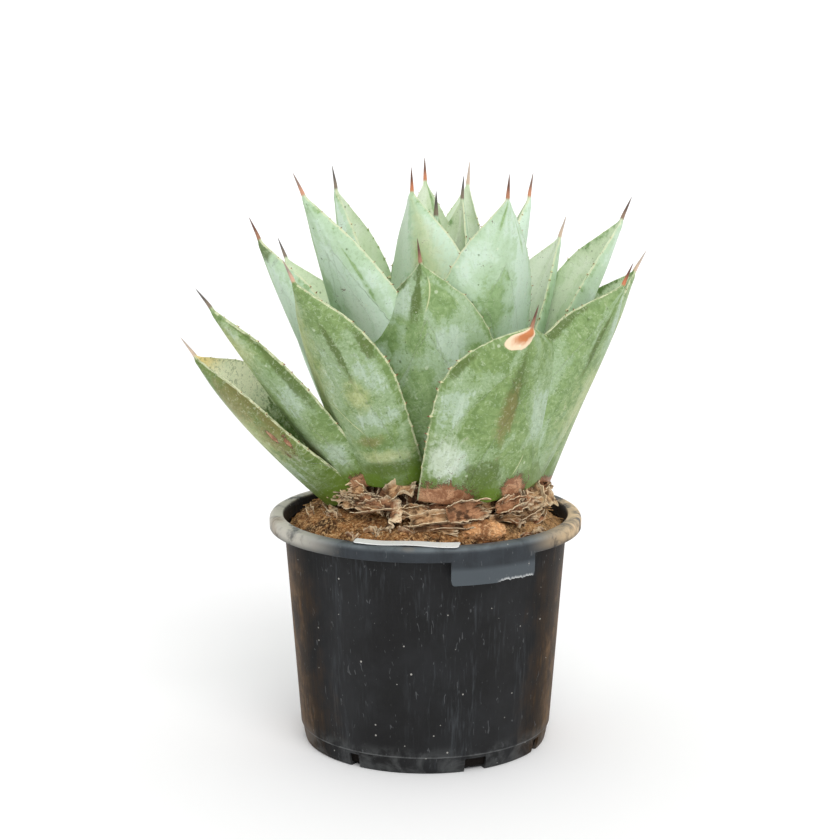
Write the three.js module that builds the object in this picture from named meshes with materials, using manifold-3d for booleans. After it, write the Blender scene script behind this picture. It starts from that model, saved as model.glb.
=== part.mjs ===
// Potted agave: a rosette of broad waxy leaves in a black nursery container.
// Millimetres, +Z up. The origin is the centre of the pot's underside, and -Y is the front.

import * as THREE from 'three';
import { mergeVertices } from 'three/addons/utils/BufferGeometryUtils.js';
import Module from 'manifold-3d';

const wasm = await Module();
wasm.setup();

// ---------------------------------------------------------------- driving dimensions

// Pot: a tapered container with a hollow turned-down rim.
const POT_HEIGHT = 223;
const POT_FOOT_RADIUS = 117.5;
const POT_HEEL_RADIUS = 121.2;
const POT_HEEL_HEIGHT = 16;
const POT_NECK_RADIUS = 136;
const POT_WALL = 2.6;
const POT_FLOOR = 3.2;
const POT_SIDES = 56;
const RIM_RADIUS = 150;
const RIM_INNER_RADIUS = 136.7;
const RIM_SKIRT = 13.2;
const RIM_ROUND = 4.5;
const TAB_DROP = 22;
const TAB_TURNS = [25, 205];
const TAB_SPREAD = 33;
const LEDGE_DEPTHS = [11, 19];
const LEDGE_STEP = 1.4;
const SLOT_TURNS = [-84, -34, 23, 62, 106, 150, 196, 236];
const SLOT_WIDTH = 22;
const SLOT_HEIGHT = 13;
const SLOT_REACH = 9;

// Soil: filled to just under the rim and mounded towards the plant.
const SOIL_EDGE = 214;
const SOIL_CROWN = 245;
const SOIL_RINGS = [28, 56, 78, 96, 114, 127];
const SOIL_RIPPLE = 1.8;

// Plant: the stem's axis stands a little to the right of the pot's axis.
const CROWN = new THREE.Vector3(8, 0, 0);
const LEAF_THICKNESS = 16;
const LEAF_EDGE = 1.6;
const LEAF_FOOT = 0.86;
const LEAF_WIDEST = 0.46;
const SPINE_LENGTH = 22;
const SPINE_RADIUS = 2.8;
const LEAF_STATIONS = [0, 0.2, 0.4, 0.58, 0.72, 0.84];
const LEAF_COLUMNS = [-1, -0.5, 0, 0.5, 1];
const CLEARANCE = 0.35;
const SLIVER = 0.02;

// Leaves, from the oldest and lowest to the youngest.
// turn: degrees round the stem, 0 at the front and positive to the right.
// reach, rise: the spine's tip, out from the stem's axis and up from the floor.
// root, seat: where the leaf leaves the stem, out from its axis and up from the floor.
// bow: how far the midrib bows outwards.  cup: how deep the blade is hollowed.
// blunt: low for a slender point, high for a broad one.  roll: twist at the tip, degrees.
// sway: how far the middle of the leaf leans to its own side.
// foot: how wide the base is, as a share of the widest part.
const LEAVES = [
  { turn: -82, reach: 240, rise: 398, width: 112, root: 88, seat: 241,
    bow: 7, cup: 0.50, blunt: 2.4, roll: -21, foot: 0.9 },
  { turn: -150, reach: 222, rise: 405, width: 116, root: 84, seat: 250, bow: 5, cup: 0.36, blunt: 2.2 },
  { turn: 172, reach: 228, rise: 405, width: 116, root: 84, seat: 250, bow: 5, cup: 0.36, blunt: 2.2 },
  { turn: 136, reach: 226, rise: 420, width: 116, root: 82, seat: 254, bow: 5, cup: 0.36, blunt: 2.2 },
  { turn: 100, reach: 208, rise: 472, width: 122, root: 96, seat: 252,
    bow: 2, cup: 0.40, blunt: 2.2, roll: 18, foot: 0.9 },
  { turn: 68, reach: 195, rise: 472, width: 150, root: 84, seat: 256,
    bow: 3, cup: 0.38, blunt: 2.0, roll: -20, foot: 0.9 },
  { turn: -66, reach: 236, rise: 451, width: 92, root: 80, seat: 258,
    bow: 0, cup: 0.34, blunt: 2.0, foot: 0.95 },
  { turn: 35, reach: 160, rise: 441, width: 158, root: 88, seat: 256,
    bow: 2, cup: 0.24, blunt: 3.0, sway: -5, foot: 0.98 },
  { turn: -43, reach: 196, rise: 482, width: 116, root: 74, seat: 266,
    bow: 0, cup: 0.32, blunt: 1.9, sway: 6, foot: 0.9 },
  { turn: -130, reach: 205, rise: 476, width: 118, root: 72, seat: 266, bow: 3, cup: 0.38, blunt: 2.0 },
  { turn: 154, reach: 205, rise: 446, width: 114, root: 72, seat: 266, bow: 3, cup: 0.36, blunt: 2.0 },
  { turn: -172, reach: 205, rise: 450, width: 114, root: 70, seat: 268, bow: 3, cup: 0.36, blunt: 2.0 },
  { turn: -8, reach: 115, rise: 498, width: 139, root: 64, seat: 276,
    bow: 2, cup: 0.30, blunt: 2.0, sway: 6, foot: 0.85 },
  { turn: 92, reach: 187, rise: 526, width: 116, root: 62, seat: 278,
    bow: 3, cup: 0.42, blunt: 2.0, roll: 14 },
  { turn: -68, reach: 182, rise: 513, width: 112, root: 60, seat: 280, bow: 2, cup: 0.35, blunt: 2.0 },
  { turn: -146, reach: 160, rise: 468, width: 114, root: 54, seat: 282, bow: 3, cup: 0.36, blunt: 2.0 },
  { turn: 162, reach: 150, rise: 490, width: 114, root: 52, seat: 284, bow: 3, cup: 0.36, blunt: 2.0 },
  { turn: 116, reach: 144, rise: 504, width: 120, root: 50, seat: 284, bow: 3, cup: 0.38, blunt: 2.0 },
  { turn: 32, reach: 124, rise: 554, width: 122, root: 42, seat: 288,
    bow: 2, cup: 0.32, blunt: 2.0, sway: 8 },
  { turn: -100, reach: 98, rise: 555, width: 126, root: 42, seat: 290, bow: 2, cup: 0.46, blunt: 1.7 },
  { turn: -46, reach: 174, rise: 556, width: 116, root: 34, seat: 290, bow: -5, cup: 0.32, blunt: 1.5 },
  { turn: 90, reach: 93, rise: 549, width: 112, root: 36, seat: 292, bow: 3, cup: 0.40, blunt: 1.7 },
  { turn: -172, reach: 120, rise: 480, width: 108, root: 36, seat: 292, bow: 3, cup: 0.36, blunt: 1.8 },
  { turn: 142, reach: 108, rise: 492, width: 108, root: 36, seat: 292, bow: 3, cup: 0.36, blunt: 1.8 },
  { turn: -122, reach: 95, rise: 498, width: 108, root: 34, seat: 294, bow: 3, cup: 0.36, blunt: 1.8 },
  { turn: 152, reach: 75, rise: 556, width: 96, root: 20, seat: 302, bow: 2, cup: 0.35, blunt: 1.6 },
  { turn: -52, reach: 27, rise: 555, width: 150, root: 16, seat: 304,
    bow: 0, cup: 0.34, blunt: 1.8, foot: 0.8 },
  { turn: -172, reach: 62, rise: 560, width: 96, root: 16, seat: 304, bow: 2, cup: 0.35, blunt: 1.5 },
  { turn: 128, reach: 36, rise: 545, width: 92, root: 12, seat: 306, bow: 0, cup: 0.35, blunt: 1.5 },
];

// Heart: the furled spear of leaf that has not opened yet.
const HEART_LEAN = new THREE.Vector3(2, -2, 0);
const HEART_FOOT = 306.5;
const HEART_TIP = 531;
const HEART_RADIUS = 15;
const HEART_SPINE = 24;

// Stem: short and thick, its foot in the soil.  Pairs are [radius, height].
const STEM_PROFILE = [
  [0, 190], [50, 190], [70, 216], [80, 236], [82, 254], [74, 268],
  [62, 279], [46, 288], [26, 298], [8, 305], [0, 306],
];
const STEM_SIDES = 28;

// Dry leaf remnants: papery feet of fallen leaves, curling round the foot of the plant.
// from, to: [turn, radius, height] of each end.  width: across.  roll: degrees at the far end.
const DRY_LEAVES = [
  { from: [-38, 83, 250], to: [-22, 114, 230], width: 38, bow: 5, cup: 0.25, roll: 10 },
  { from: [-32, 83, 258], to: [-4, 90, 256], width: 18, bow: 6, cup: 0.3, roll: 0 },
  { from: [-6, 81, 250], to: [26, 101, 239], width: 24, bow: 4, cup: 0.3, roll: 15 },
  { from: [-12, 112, 228], to: [11, 113, 228], width: 14, bow: 4, cup: 0.2, roll: 0 },
  { from: [-14, 81, 263], to: [26, 88, 260], width: 16, bow: 8, cup: 0.2, roll: 0 },
  { from: [64, 80, 262], to: [58, 108, 237], width: 42, bow: 5, cup: 0.35, roll: 16 },
  { from: [30, 81, 248], to: [54, 102, 239], width: 22, bow: 4, cup: 0.4, roll: 0 },
  { from: [88, 80, 262], to: [78, 110, 232], width: 34, bow: 5, cup: 0.3, roll: 8 },
  { from: [44, 94, 229], to: [44, 116, 228], width: 14, bow: 2, cup: 0.2, roll: 0 },
  { from: [112, 80, 252], to: [106, 112, 230], width: 44, bow: 5, cup: 0.35, roll: -12 },
  { from: [142, 80, 252], to: [148, 113, 230], width: 42, bow: 5, cup: 0.3, roll: 8 },
  { from: [176, 80, 252], to: [170, 114, 230], width: 42, bow: 5, cup: 0.35, roll: -8 },
  { from: [-154, 80, 252], to: [-150, 113, 230], width: 44, bow: 5, cup: 0.3, roll: 10 },
  { from: [-122, 80, 252], to: [-116, 112, 230], width: 38, bow: 5, cup: 0.35, roll: 10 },
];
const DRY_THICKNESS = 1.8;

// Clod: a loose round lump of soil in front of the plant.
const CLOD_TURN = 28;
const CLOD_REACH = 112;
const CLOD_HEIGHT = 227;
const CLOD_SIZE = new THREE.Vector3(23, 15, 11);

// Plant label: a loose plastic strip lying across the front of the rim.
const LABEL_SIZE = new THREE.Vector3(96, 15, 0.9);
const LABEL_PLACE = new THREE.Vector2(-17, -134.5);
const LABEL_TURN = -9;

const COLOURS = {
  pot: [0x2b2c2e, 0.62],
  soil: [0x7a5a3c, 0.95],
  clod: [0x6b4c31, 0.95],
  label: [0xe9ebea, 0.45],
  stem: [0x8a6a45, 0.9],
  leaf: [0x9dbba0, 0.55],
  heart: [0xb5cfae, 0.5],
  dry: [0xa98561, 0.85],
};

// ---------------------------------------------------------------- solids

const plant = new THREE.Group();

function addMesh(name, geometry, [color, roughness]) {
  const material = new THREE.MeshStandardMaterial({ color, roughness, metalness: 0 });
  const mesh = new THREE.Mesh(geometry, material);
  mesh.name = name;
  plant.add(mesh);
}

// A closed geometry as a manifold solid.
function solidOf(geometry) {
  const bare = geometry.clone();
  bare.deleteAttribute('normal');
  bare.deleteAttribute('uv');
  const merged = mergeVertices(bare, 1e-3);
  return new wasm.Manifold(new wasm.Mesh({
    numProp: 3,
    vertProperties: new Float32Array(merged.attributes.position.array),
    triVerts: new Uint32Array(merged.index.array),
  }));
}

function geometryOf(solid) {
  const mesh = solid.getMesh();
  const geometry = new THREE.BufferGeometry();
  geometry.setAttribute('position', new THREE.BufferAttribute(mesh.vertProperties, 3));
  geometry.setIndex(new THREE.BufferAttribute(mesh.triVerts, 1));
  return geometry;
}

// The largest piece of a solid that a cut has left in several, freed of slivers.
function mainPiece(solid) {
  const largest = (pieces) => pieces.sort((a, b) => b.volume() - a.volume())[0];
  const piece = largest(solid.decompose()).simplify(SLIVER);
  return largest(solidOf(geometryOf(piece)).decompose());
}

// A skin over rings with equal point counts.  Each ring's second half runs back over its first,
// so the ends close by strips from half to half, and diagonals match across a thin blade.
function loft(rings) {
  const count = rings[0].length;
  const faces = [];
  for (let i = 0; i < rings.length - 1; i += 1) {
    for (let j = 0; j < count; j += 1) {
      const a = i * count + j;
      const b = i * count + (j + 1) % count;
      const c = a + count;
      const d = b + count;
      faces.push(...(j < count / 2 ? [a, b, c, b, d, c] : [a, b, d, a, d, c]));
    }
  }
  const lastRing = (rings.length - 1) * count;
  for (let j = 0; j < count / 2 - 1; j += 1) {
    const [a, b, c, d] = [j, j + 1, count - 1 - j, count - 2 - j];
    faces.push(a, c, b, b, c, d);
    faces.push(...[a, b, c, b, d, c].map((corner) => corner + lastRing));
  }
  const geometry = new THREE.BufferGeometry().setFromPoints(rings.flat());
  geometry.setIndex(faces);
  return geometry;
}

// The point at a turn round a centre, a radius out from it and a height up.
function polar(turn, radius, height, centre = CROWN) {
  const angle = THREE.MathUtils.degToRad(turn);
  return new THREE.Vector3(
    centre.x + radius * Math.sin(angle),
    centre.y - radius * Math.cos(angle),
    height,
  );
}

// ---------------------------------------------------------------- blades

// Half the blade's width at station s, from 0 at the root to 1 at the spine's tip.
function halfWidth(s, leaf, bladeEnd) {
  const t = Math.min(s / bladeEnd, 1);
  const foot = leaf.foot ?? LEAF_FOOT;
  const rise = foot + (1 - foot) * Math.sin(Math.PI / 2 * Math.min(t / LEAF_WIDEST, 1));
  const past = Math.max((t - LEAF_WIDEST) / (1 - LEAF_WIDEST), 0);
  const blade = leaf.width / 2 * rise * (1 - past ** leaf.blunt);
  const spine = SPINE_RADIUS * Math.min((1 - s) / (1 - bladeEnd), 1);
  return Math.max(blade, spine);
}

// One ring of a blade: its hollow inner face, then its rounded outer face.
function bladeRing({ middle, across, inward, half, cup, thickness, edge, grow }) {
  const place = (u, depth) => middle.clone()
    .addScaledVector(across, (half + grow) * u * (1 - 0.1 * u * u))
    .addScaledVector(inward, half * cup * u * u + depth);
  const inner = LEAF_COLUMNS.map((u) => place(u, grow));
  const outer = LEAF_COLUMNS.map((u) => place(u, -edge - thickness * Math.sqrt(1 - u * u) - grow));
  return [...outer, ...inner.reverse()];
}

// A blade lofted along a bowed midrib from root to tip.
function blade(root, tip, side, shape, stations, grow) {
  const outwards = new THREE.Vector3().crossVectors(side, tip.clone().sub(root)).normalize();
  if (outwards.z > 0) outwards.negate();
  const bend = root.clone().add(tip).multiplyScalar(0.5)
    .addScaledVector(outwards, 2 * shape.bow)
    .addScaledVector(side, 2 * (shape.sway ?? 0));
  const midrib = new THREE.QuadraticBezierCurve3(root, bend, tip);
  return loft(stations.map((s) => {
    const along = midrib.getTangent(s);
    const across = side.clone().addScaledVector(along, -side.dot(along)).normalize();
    const inward = new THREE.Vector3().crossVectors(across, along).normalize();
    if (inward.dot(outwards) > 0) inward.negate();
    const roll = THREE.MathUtils.degToRad((shape.roll ?? 0) * s);
    const turned = across.clone().multiplyScalar(Math.cos(roll)).addScaledVector(inward, Math.sin(roll));
    inward.multiplyScalar(Math.cos(roll)).addScaledVector(across, -Math.sin(roll));
    return bladeRing({
      middle: midrib.getPoint(s),
      across: turned,
      inward,
      half: shape.half(s),
      cup: shape.cup * (0.8 + 0.4 * s),
      thickness: shape.thickness(s),
      edge: shape.edge(s),
      grow,
    });
  }));
}

function leafGeometry(leaf, grow = 0) {
  const root = polar(leaf.turn, leaf.root, leaf.seat);
  const tip = polar(leaf.turn, leaf.reach, leaf.rise);
  const side = polar(leaf.turn + 90, 1, 0, new THREE.Vector3());
  const bladeEnd = 1 - SPINE_LENGTH / root.distanceTo(tip);
  const shape = {
    ...leaf,
    half: (s) => halfWidth(s, leaf, bladeEnd),
    thickness: (s) => LEAF_THICKNESS * (1 - s) ** 0.8,
    edge: (s) => LEAF_EDGE * Math.min(1, 4 * (1 - s) + 0.1),
  };
  return blade(root, tip, side, shape, [...LEAF_STATIONS, bladeEnd, 0.995], grow);
}

function dryLeafGeometry(dry, grow = 0) {
  const from = polar(...dry.from);
  const to = polar(...dry.to);
  const radial = polar(dry.from[0], 1, 0, new THREE.Vector3());
  const run = to.clone().sub(from).normalize();
  const side = Math.abs(run.dot(radial)) > 0.6
    ? polar(dry.from[0] + 90, 1, 0, new THREE.Vector3())
    : new THREE.Vector3(0, 0, 1);
  const shape = {
    ...dry,
    half: (s) => dry.width / 2 * (0.75 + 0.5 * s - 0.6 * s * s),
    thickness: () => 0,
    edge: () => DRY_THICKNESS,
  };
  return blade(from, to, side, shape, [0, 0.35, 0.7, 1], grow);
}

// ---------------------------------------------------------------- pot

// The wall's outer radius at a height.
function potRadius(height) {
  const share = (height - POT_HEEL_HEIGHT) / (POT_HEIGHT - RIM_SKIRT - POT_HEEL_HEIGHT);
  return POT_HEEL_RADIUS + (POT_NECK_RADIUS - POT_HEEL_RADIUS) * share;
}

// The wall's inner side: narrower below each stacking ledge.
function potInnerProfile() {
  const ledges = LEDGE_DEPTHS.flatMap((depth, i) => {
    const height = POT_HEIGHT - depth;
    const radius = potRadius(height) - POT_WALL + LEDGE_STEP * (1 - i) / 2;
    return [[radius, height], [radius - LEDGE_STEP / 2, height - 1]];
  });
  return [
    [RIM_INNER_RADIUS, POT_HEIGHT - 1],
    [RIM_INNER_RADIUS - 1.6, POT_HEIGHT - 5],
    ...ledges,
    [POT_HEEL_RADIUS - POT_WALL, POT_HEEL_HEIGHT],
    [POT_FOOT_RADIUS - POT_WALL, POT_FLOOR],
  ];
}

function potShell() {
  const skirtFoot = POT_HEIGHT - RIM_SKIRT;
  const round = [0, 30, 60, 90].map((degrees) => {
    const angle = THREE.MathUtils.degToRad(degrees);
    return [
      RIM_RADIUS - RIM_ROUND + RIM_ROUND * Math.cos(angle),
      POT_HEIGHT - RIM_ROUND + RIM_ROUND * Math.sin(angle),
    ];
  });
  const outline = [
    [0, 0],
    [POT_FOOT_RADIUS - 1.5, 0],
    [POT_FOOT_RADIUS, 1.5],
    [POT_HEEL_RADIUS - 1, POT_HEEL_HEIGHT],
    [POT_HEEL_RADIUS, POT_HEEL_HEIGHT + 1],
    [POT_NECK_RADIUS, skirtFoot],
    [POT_NECK_RADIUS + 0.6, POT_HEIGHT - POT_WALL - 1],
    [RIM_RADIUS - POT_WALL, POT_HEIGHT - POT_WALL - 1],
    [RIM_RADIUS - POT_WALL, skirtFoot],
    [RIM_RADIUS, skirtFoot],
    ...round,
    [RIM_INNER_RADIUS + 1, POT_HEIGHT],
    ...potInnerProfile(),
    [0, POT_FLOOR],
  ];
  const points = outline.map(([radius, height]) => new THREE.Vector2(radius, height));
  return new THREE.LatheGeometry(points, POT_SIDES).rotateX(Math.PI / 2);
}

// A hand tab: the rim's skirt carried further down over part of its run.
function handTab(turn) {
  const steps = 8;
  const outer = [];
  const inner = [];
  for (let i = 0; i <= steps; i += 1) {
    const angle = turn + TAB_SPREAD * (i / steps - 0.5);
    outer.push(polar(angle, RIM_RADIUS - 0.05, 0, new THREE.Vector3()));
    inner.unshift(polar(angle, RIM_RADIUS - POT_WALL, 0, new THREE.Vector3()));
  }
  const outline = new THREE.Shape([...outer, ...inner].map((p) => new THREE.Vector2(p.x, p.y)));
  const overlap = 5;
  return new THREE.ExtrudeGeometry(outline, { depth: TAB_DROP + overlap, bevelEnabled: false })
    .translate(0, 0, POT_HEIGHT - RIM_SKIRT - TAB_DROP);
}

// A drain slot: cut through the corner between the heel and the floor.
function drainSlot(turn) {
  const depth = SLOT_REACH * 2;
  return new THREE.BoxGeometry(SLOT_WIDTH, depth, SLOT_HEIGHT * 2)
    .translate(0, -POT_FOOT_RADIUS, 0)
    .rotateZ(THREE.MathUtils.degToRad(turn));
}

function buildPot() {
  let pot = solidOf(potShell());
  for (const turn of TAB_TURNS) {
    pot = pot.add(solidOf(handTab(turn)));
  }
  for (const turn of SLOT_TURNS) {
    pot = pot.subtract(solidOf(drainSlot(turn)));
  }
  addMesh('pot', geometryOf(pot), COLOURS.pot);
}

// ---------------------------------------------------------------- soil, clod and label

// The soil's top: a mound under the plant with a gently uneven skin.
function soilHeight(radius, angle) {
  const mound = (SOIL_CROWN - SOIL_EDGE) * Math.cos(Math.PI / 2 * Math.min(radius / 128, 1)) ** 0.8;
  const ripple = Math.sin(3 * angle + radius / 9) + Math.sin(7 * angle - radius / 6);
  return SOIL_EDGE + mound + SOIL_RIPPLE * ripple * Math.min(radius / 60, 1) / 2;
}

function soilGeometry() {
  const inset = CLEARANCE + 0.1;
  const wall = potInnerProfile().slice(2).map(([radius, height]) => [radius - inset, height]);
  const rows = wall.filter(([, height]) => height < SOIL_EDGE - 1);
  rows[rows.length - 1] = [rows.at(-1)[0], POT_FLOOR + inset];
  const ring = (radius, height) => Array.from({ length: POT_SIDES }, (_, i) => {
    const angle = 2 * Math.PI * i / POT_SIDES;
    const level = height ?? soilHeight(radius, angle);
    return new THREE.Vector3(radius * Math.sin(angle), radius * Math.cos(angle), level);
  });
  const top = SOIL_RINGS.map((radius) => ring(radius));
  const side = rows.map(([radius, height]) => ring(radius, height));
  return loft([...top, ...side]);
}

function clodGeometry() {
  const clod = new THREE.IcosahedronGeometry(1, 2);
  const position = clod.attributes.position;
  const point = new THREE.Vector3();
  for (let i = 0; i < position.count; i += 1) {
    point.fromBufferAttribute(position, i);
    const lump = 1 + 0.06 * Math.sin(5 * point.x + 3 * point.z) + 0.05 * Math.sin(7 * point.y);
    point.multiply(CLOD_SIZE).multiplyScalar(lump);
    position.setXYZ(i, point.x, point.y, point.z);
  }
  const place = polar(CLOD_TURN, CLOD_REACH, CLOD_HEIGHT, new THREE.Vector3());
  return clod.translate(place.x, place.y, place.z);
}

function labelGeometry() {
  const { x, y, z } = LABEL_SIZE;
  return new THREE.BoxGeometry(x, y, z, 6, 1, 1)
    .rotateZ(THREE.MathUtils.degToRad(LABEL_TURN))
    .translate(LABEL_PLACE.x, LABEL_PLACE.y, POT_HEIGHT + CLEARANCE + z / 2);
}

// ---------------------------------------------------------------- stem and heart

function stemGeometry(grow = 0) {
  const points = STEM_PROFILE.map(([radius, height], i) => {
    const last = STEM_PROFILE.length - 1;
    const lift = i < 2 ? -grow : grow;
    return new THREE.Vector2(i === 0 || i === last ? 0 : radius + grow, height + lift);
  });
  return new THREE.LatheGeometry(points, STEM_SIDES)
    .rotateX(Math.PI / 2)
    .translate(CROWN.x, CROWN.y, 0);
}

function heartGeometry() {
  const length = HEART_TIP - HEART_FOOT;
  const spine = 1 - HEART_SPINE / length;
  const profile = [0, 0.15, 0.35, 0.55, 0.75, spine].map((s) => {
    const swell = 0.6 + 0.4 * Math.sin(Math.PI * Math.min(s / 0.7, 1));
    const radius = Math.max(HEART_RADIUS * swell * (1 - (s / spine) ** 3), SPINE_RADIUS);
    return new THREE.Vector2(radius, s * length);
  });
  const points = [new THREE.Vector2(0, 0), ...profile, new THREE.Vector2(0, length)];
  return new THREE.LatheGeometry(points, 12)
    .rotateX(Math.PI / 2)
    .translate(CROWN.x + HEART_LEAN.x, CROWN.y + HEART_LEAN.y, HEART_FOOT);
}

// ---------------------------------------------------------------- the plant, piece by piece

// Each piece is trimmed clear of those already in place; taken holds them, slightly grown.
const taken = [];

function fit(geometry, grownGeometry) {
  let solid = solidOf(geometry);
  for (const other of taken) {
    solid = solid.subtract(other);
  }
  taken.push(solidOf(grownGeometry));
  return geometryOf(mainPiece(solid));
}

function buildPlant() {
  addMesh('stem', fit(stemGeometry(), stemGeometry(CLEARANCE)), COLOURS.stem);
  LEAVES.forEach((leaf, i) => {
    const name = `leaf_${String(i + 1).padStart(2, '0')}`;
    addMesh(name, fit(leafGeometry(leaf), leafGeometry(leaf, CLEARANCE)), COLOURS.leaf);
  });
  addMesh('heart_leaf', fit(heartGeometry(), heartGeometry()), COLOURS.heart);
  DRY_LEAVES.forEach((dry, i) => {
    const name = `dry_leaf_${String(i + 1).padStart(2, '0')}`;
    addMesh(name, fit(dryLeafGeometry(dry), dryLeafGeometry(dry, CLEARANCE)), COLOURS.dry);
  });
  addMesh('soil_clod', fit(clodGeometry(), clodGeometry()), COLOURS.clod);
  addMesh('soil', fit(soilGeometry(), soilGeometry()), COLOURS.soil);
  addMesh('plant_label', labelGeometry(), COLOURS.label);
}

buildPot();
buildPlant();

export default plant;
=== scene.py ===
# Potted agave: a rosette of broad waxy leaves in a black nursery container.
# Metres, +Z up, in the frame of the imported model; -Y is the front.

import math
import random

import bpy
import numpy as np
from mathutils import Matrix, Vector, noise


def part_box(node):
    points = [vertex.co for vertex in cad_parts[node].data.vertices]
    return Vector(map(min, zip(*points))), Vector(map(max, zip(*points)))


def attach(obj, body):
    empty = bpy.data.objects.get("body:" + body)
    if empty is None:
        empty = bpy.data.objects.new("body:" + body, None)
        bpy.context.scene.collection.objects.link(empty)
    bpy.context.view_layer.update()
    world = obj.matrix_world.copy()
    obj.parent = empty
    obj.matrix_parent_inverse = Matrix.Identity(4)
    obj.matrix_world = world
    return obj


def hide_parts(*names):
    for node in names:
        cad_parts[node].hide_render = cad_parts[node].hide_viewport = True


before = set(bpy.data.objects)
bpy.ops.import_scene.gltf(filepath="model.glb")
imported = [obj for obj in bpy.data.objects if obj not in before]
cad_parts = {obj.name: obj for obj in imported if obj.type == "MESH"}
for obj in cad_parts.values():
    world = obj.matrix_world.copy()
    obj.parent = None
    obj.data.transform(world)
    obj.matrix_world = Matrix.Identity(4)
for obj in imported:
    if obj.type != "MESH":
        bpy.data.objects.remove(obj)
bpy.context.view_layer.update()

MM = 0.001


# ---------------------------------------------------------------- pot
# The container is one moulding of black polypropylene: a tapered wall on a narrow heel, and a hollow
# turned-down rim with two hand tabs.  Years outdoors have scuffed it and dusted its rim, and the front tab's
# lower edge is chipped.  Its colour also carries painted sheen: brown on the sides seen from the front,
# blue-grey on the rim's top and pale at the rim's ends.

POT_SIDES = 168
RIM_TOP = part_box("pot")[1].z / MM
TAB_MIDDLE = 25.3
TAB_HALF_ARC = 16.5
TAB_RADIUS = 148.65
TAB_DRAFT = 0.9
TAB_TOP = RIM_TOP - 11.5
TAB_DROP = 23.7
TAB_CORNER = 5.5
TAB_THICKNESS = 2.4
# Turn round the heel in degrees and width in mm of each drain slot, then what they share.
DRAINS = ((-84, 9), (-34, 9), (23, 18), (62, 9), (106, 18), (150, 18), (196, 18), (236, 18))
DRAIN_REACH = 116.5
DRAIN_MIDDLE = 6.5
DRAIN_DEPTH = 18
DRAIN_HEIGHT = 13.5
POT_OUTSIDE = [
    (112, 0), (116, 0), (117.2, 0.6), (117.5, 1.6), (119, 8), (120.2, 15.6), (121.3, 16.6), (121.6, 17.6),
    (124, 50), (128, 104), (131.9, 158), (134.8, 196), (136, 209), (136.4, 214), (137, 216.2), (146.6, 216.2),
    (147.4, 215.2), (147.4, 210.3), (147.8, 209.8), (149.3, 209.8), (149.8, 210.4), (150, 213), (150, 217.8),
    (149.5, 220), (148.3, 221.7), (146.6, 222.7), (144.8, 223), (138.6, 223), (137.4, 222.7), (136.8, 221.8),
]
POT_INSIDE = [
    (135.2, 218), (134.2, 212.2), (133.5, 211.2), (133.1, 204.2), (132.4, 203.2), (121.4, 50),
    (118.6, 17), (114.9, 3.2),
]


def clear_selection():
    """Leaves edit mode with nothing selected."""
    if bpy.context.object and bpy.context.object.mode != "OBJECT":
        bpy.ops.object.mode_set(mode="OBJECT")
    bpy.ops.object.select_all(action="DESELECT")


def named(name):
    """The object that the last operator added, under its own name."""
    piece = bpy.context.object
    piece.name = name
    piece.data.name = name
    return piece


def pick(piece):
    """Leaves one piece selected and active."""
    clear_selection()
    piece.select_set(True)
    bpy.context.view_layer.objects.active = piece


def settle(piece, crease=35):
    """Puts the place of a finished piece in its mesh, and shades it smooth up to a crease in degrees."""
    pick(piece)
    bpy.ops.object.transform_apply(location=True, rotation=True, scale=True)
    bpy.ops.object.shade_smooth_by_angle(angle=math.radians(crease))
    return piece


def finish_with(piece, material):
    """Gives a piece its one material."""
    piece.data.materials.clear()
    piece.data.materials.append(material)


def apply_modifier(piece, kind, **settings):
    """Adds one modifier with its settings and applies it."""
    pick(piece)
    modifier = piece.modifiers.new(kind.title(), kind)
    for key, value in settings.items():
        setattr(modifier, key, value)
    bpy.ops.object.modifier_apply(modifier=modifier.name)


def thicken(piece, thickness, bevel=0, angle=60):
    """Gives a sheet its thickness in mm, and breaks its edges by a bevel in mm."""
    apply_modifier(piece, "SOLIDIFY", thickness=thickness * MM, offset=0)
    if bevel:
        apply_modifier(piece, "BEVEL", width=bevel * MM, segments=2, limit_method="ANGLE",
                       angle_limit=math.radians(angle))


def join(pieces, name):
    """Joins pieces into the first one."""
    clear_selection()
    for piece in pieces:
        piece.select_set(True)
    bpy.context.view_layer.objects.active = pieces[0]
    bpy.ops.object.join()
    return named(name)


def set_field(piece, name, values):
    """Stores one number for each vertex of a piece, for its material to read."""
    field = piece.data.attributes.get(name) or piece.data.attributes.new(name, "FLOAT", "POINT")
    field.data.foreach_set("value", np.asarray(values, dtype=np.float32).ravel())


def points_of(piece):
    """The vertices of a piece as an array of rows."""
    points = np.empty(len(piece.data.vertices) * 3, dtype=np.float32)
    piece.data.vertices.foreach_get("co", points)
    return points.reshape(-1, 3).astype(float)


def place_points(piece, points):
    """Moves the vertices of a piece to the rows of an array."""
    piece.data.vertices.foreach_set("co", np.asarray(points, dtype=np.float32).ravel())
    piece.data.update()


def new_grid(name, columns, rows):
    """A flat grid, with the two coordinates of its vertices, from -1 to 1."""
    clear_selection()
    bpy.ops.mesh.primitive_grid_add(x_subdivisions=columns, y_subdivisions=rows, size=2)
    piece = named(name)
    points = points_of(piece)
    return piece, points[:, 0], points[:, 1]


def start_edit():
    """Takes the active piece into edit mode with all of it selected."""
    bpy.ops.object.mode_set(mode="EDIT")
    bpy.ops.mesh.select_all(action="SELECT")


def turned_profile(name, profile, sides):
    """A surface of revolution, drawn out ring by ring along pairs of radius and height."""
    clear_selection()
    radius, height = profile[0]
    bpy.ops.mesh.primitive_circle_add(vertices=sides, radius=radius * MM, location=(0, 0, height * MM))
    piece = named(name)
    start_edit()
    for wider, higher in profile[1:]:
        step = (0, 0, (higher - height) * MM)
        bpy.ops.mesh.extrude_region_move(TRANSFORM_OT_translate={"value": step})
        bpy.ops.transform.resize(value=(wider / radius, wider / radius, 1))
        radius, height = wider, higher
    bpy.ops.object.mode_set(mode="OBJECT")
    return piece


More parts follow.
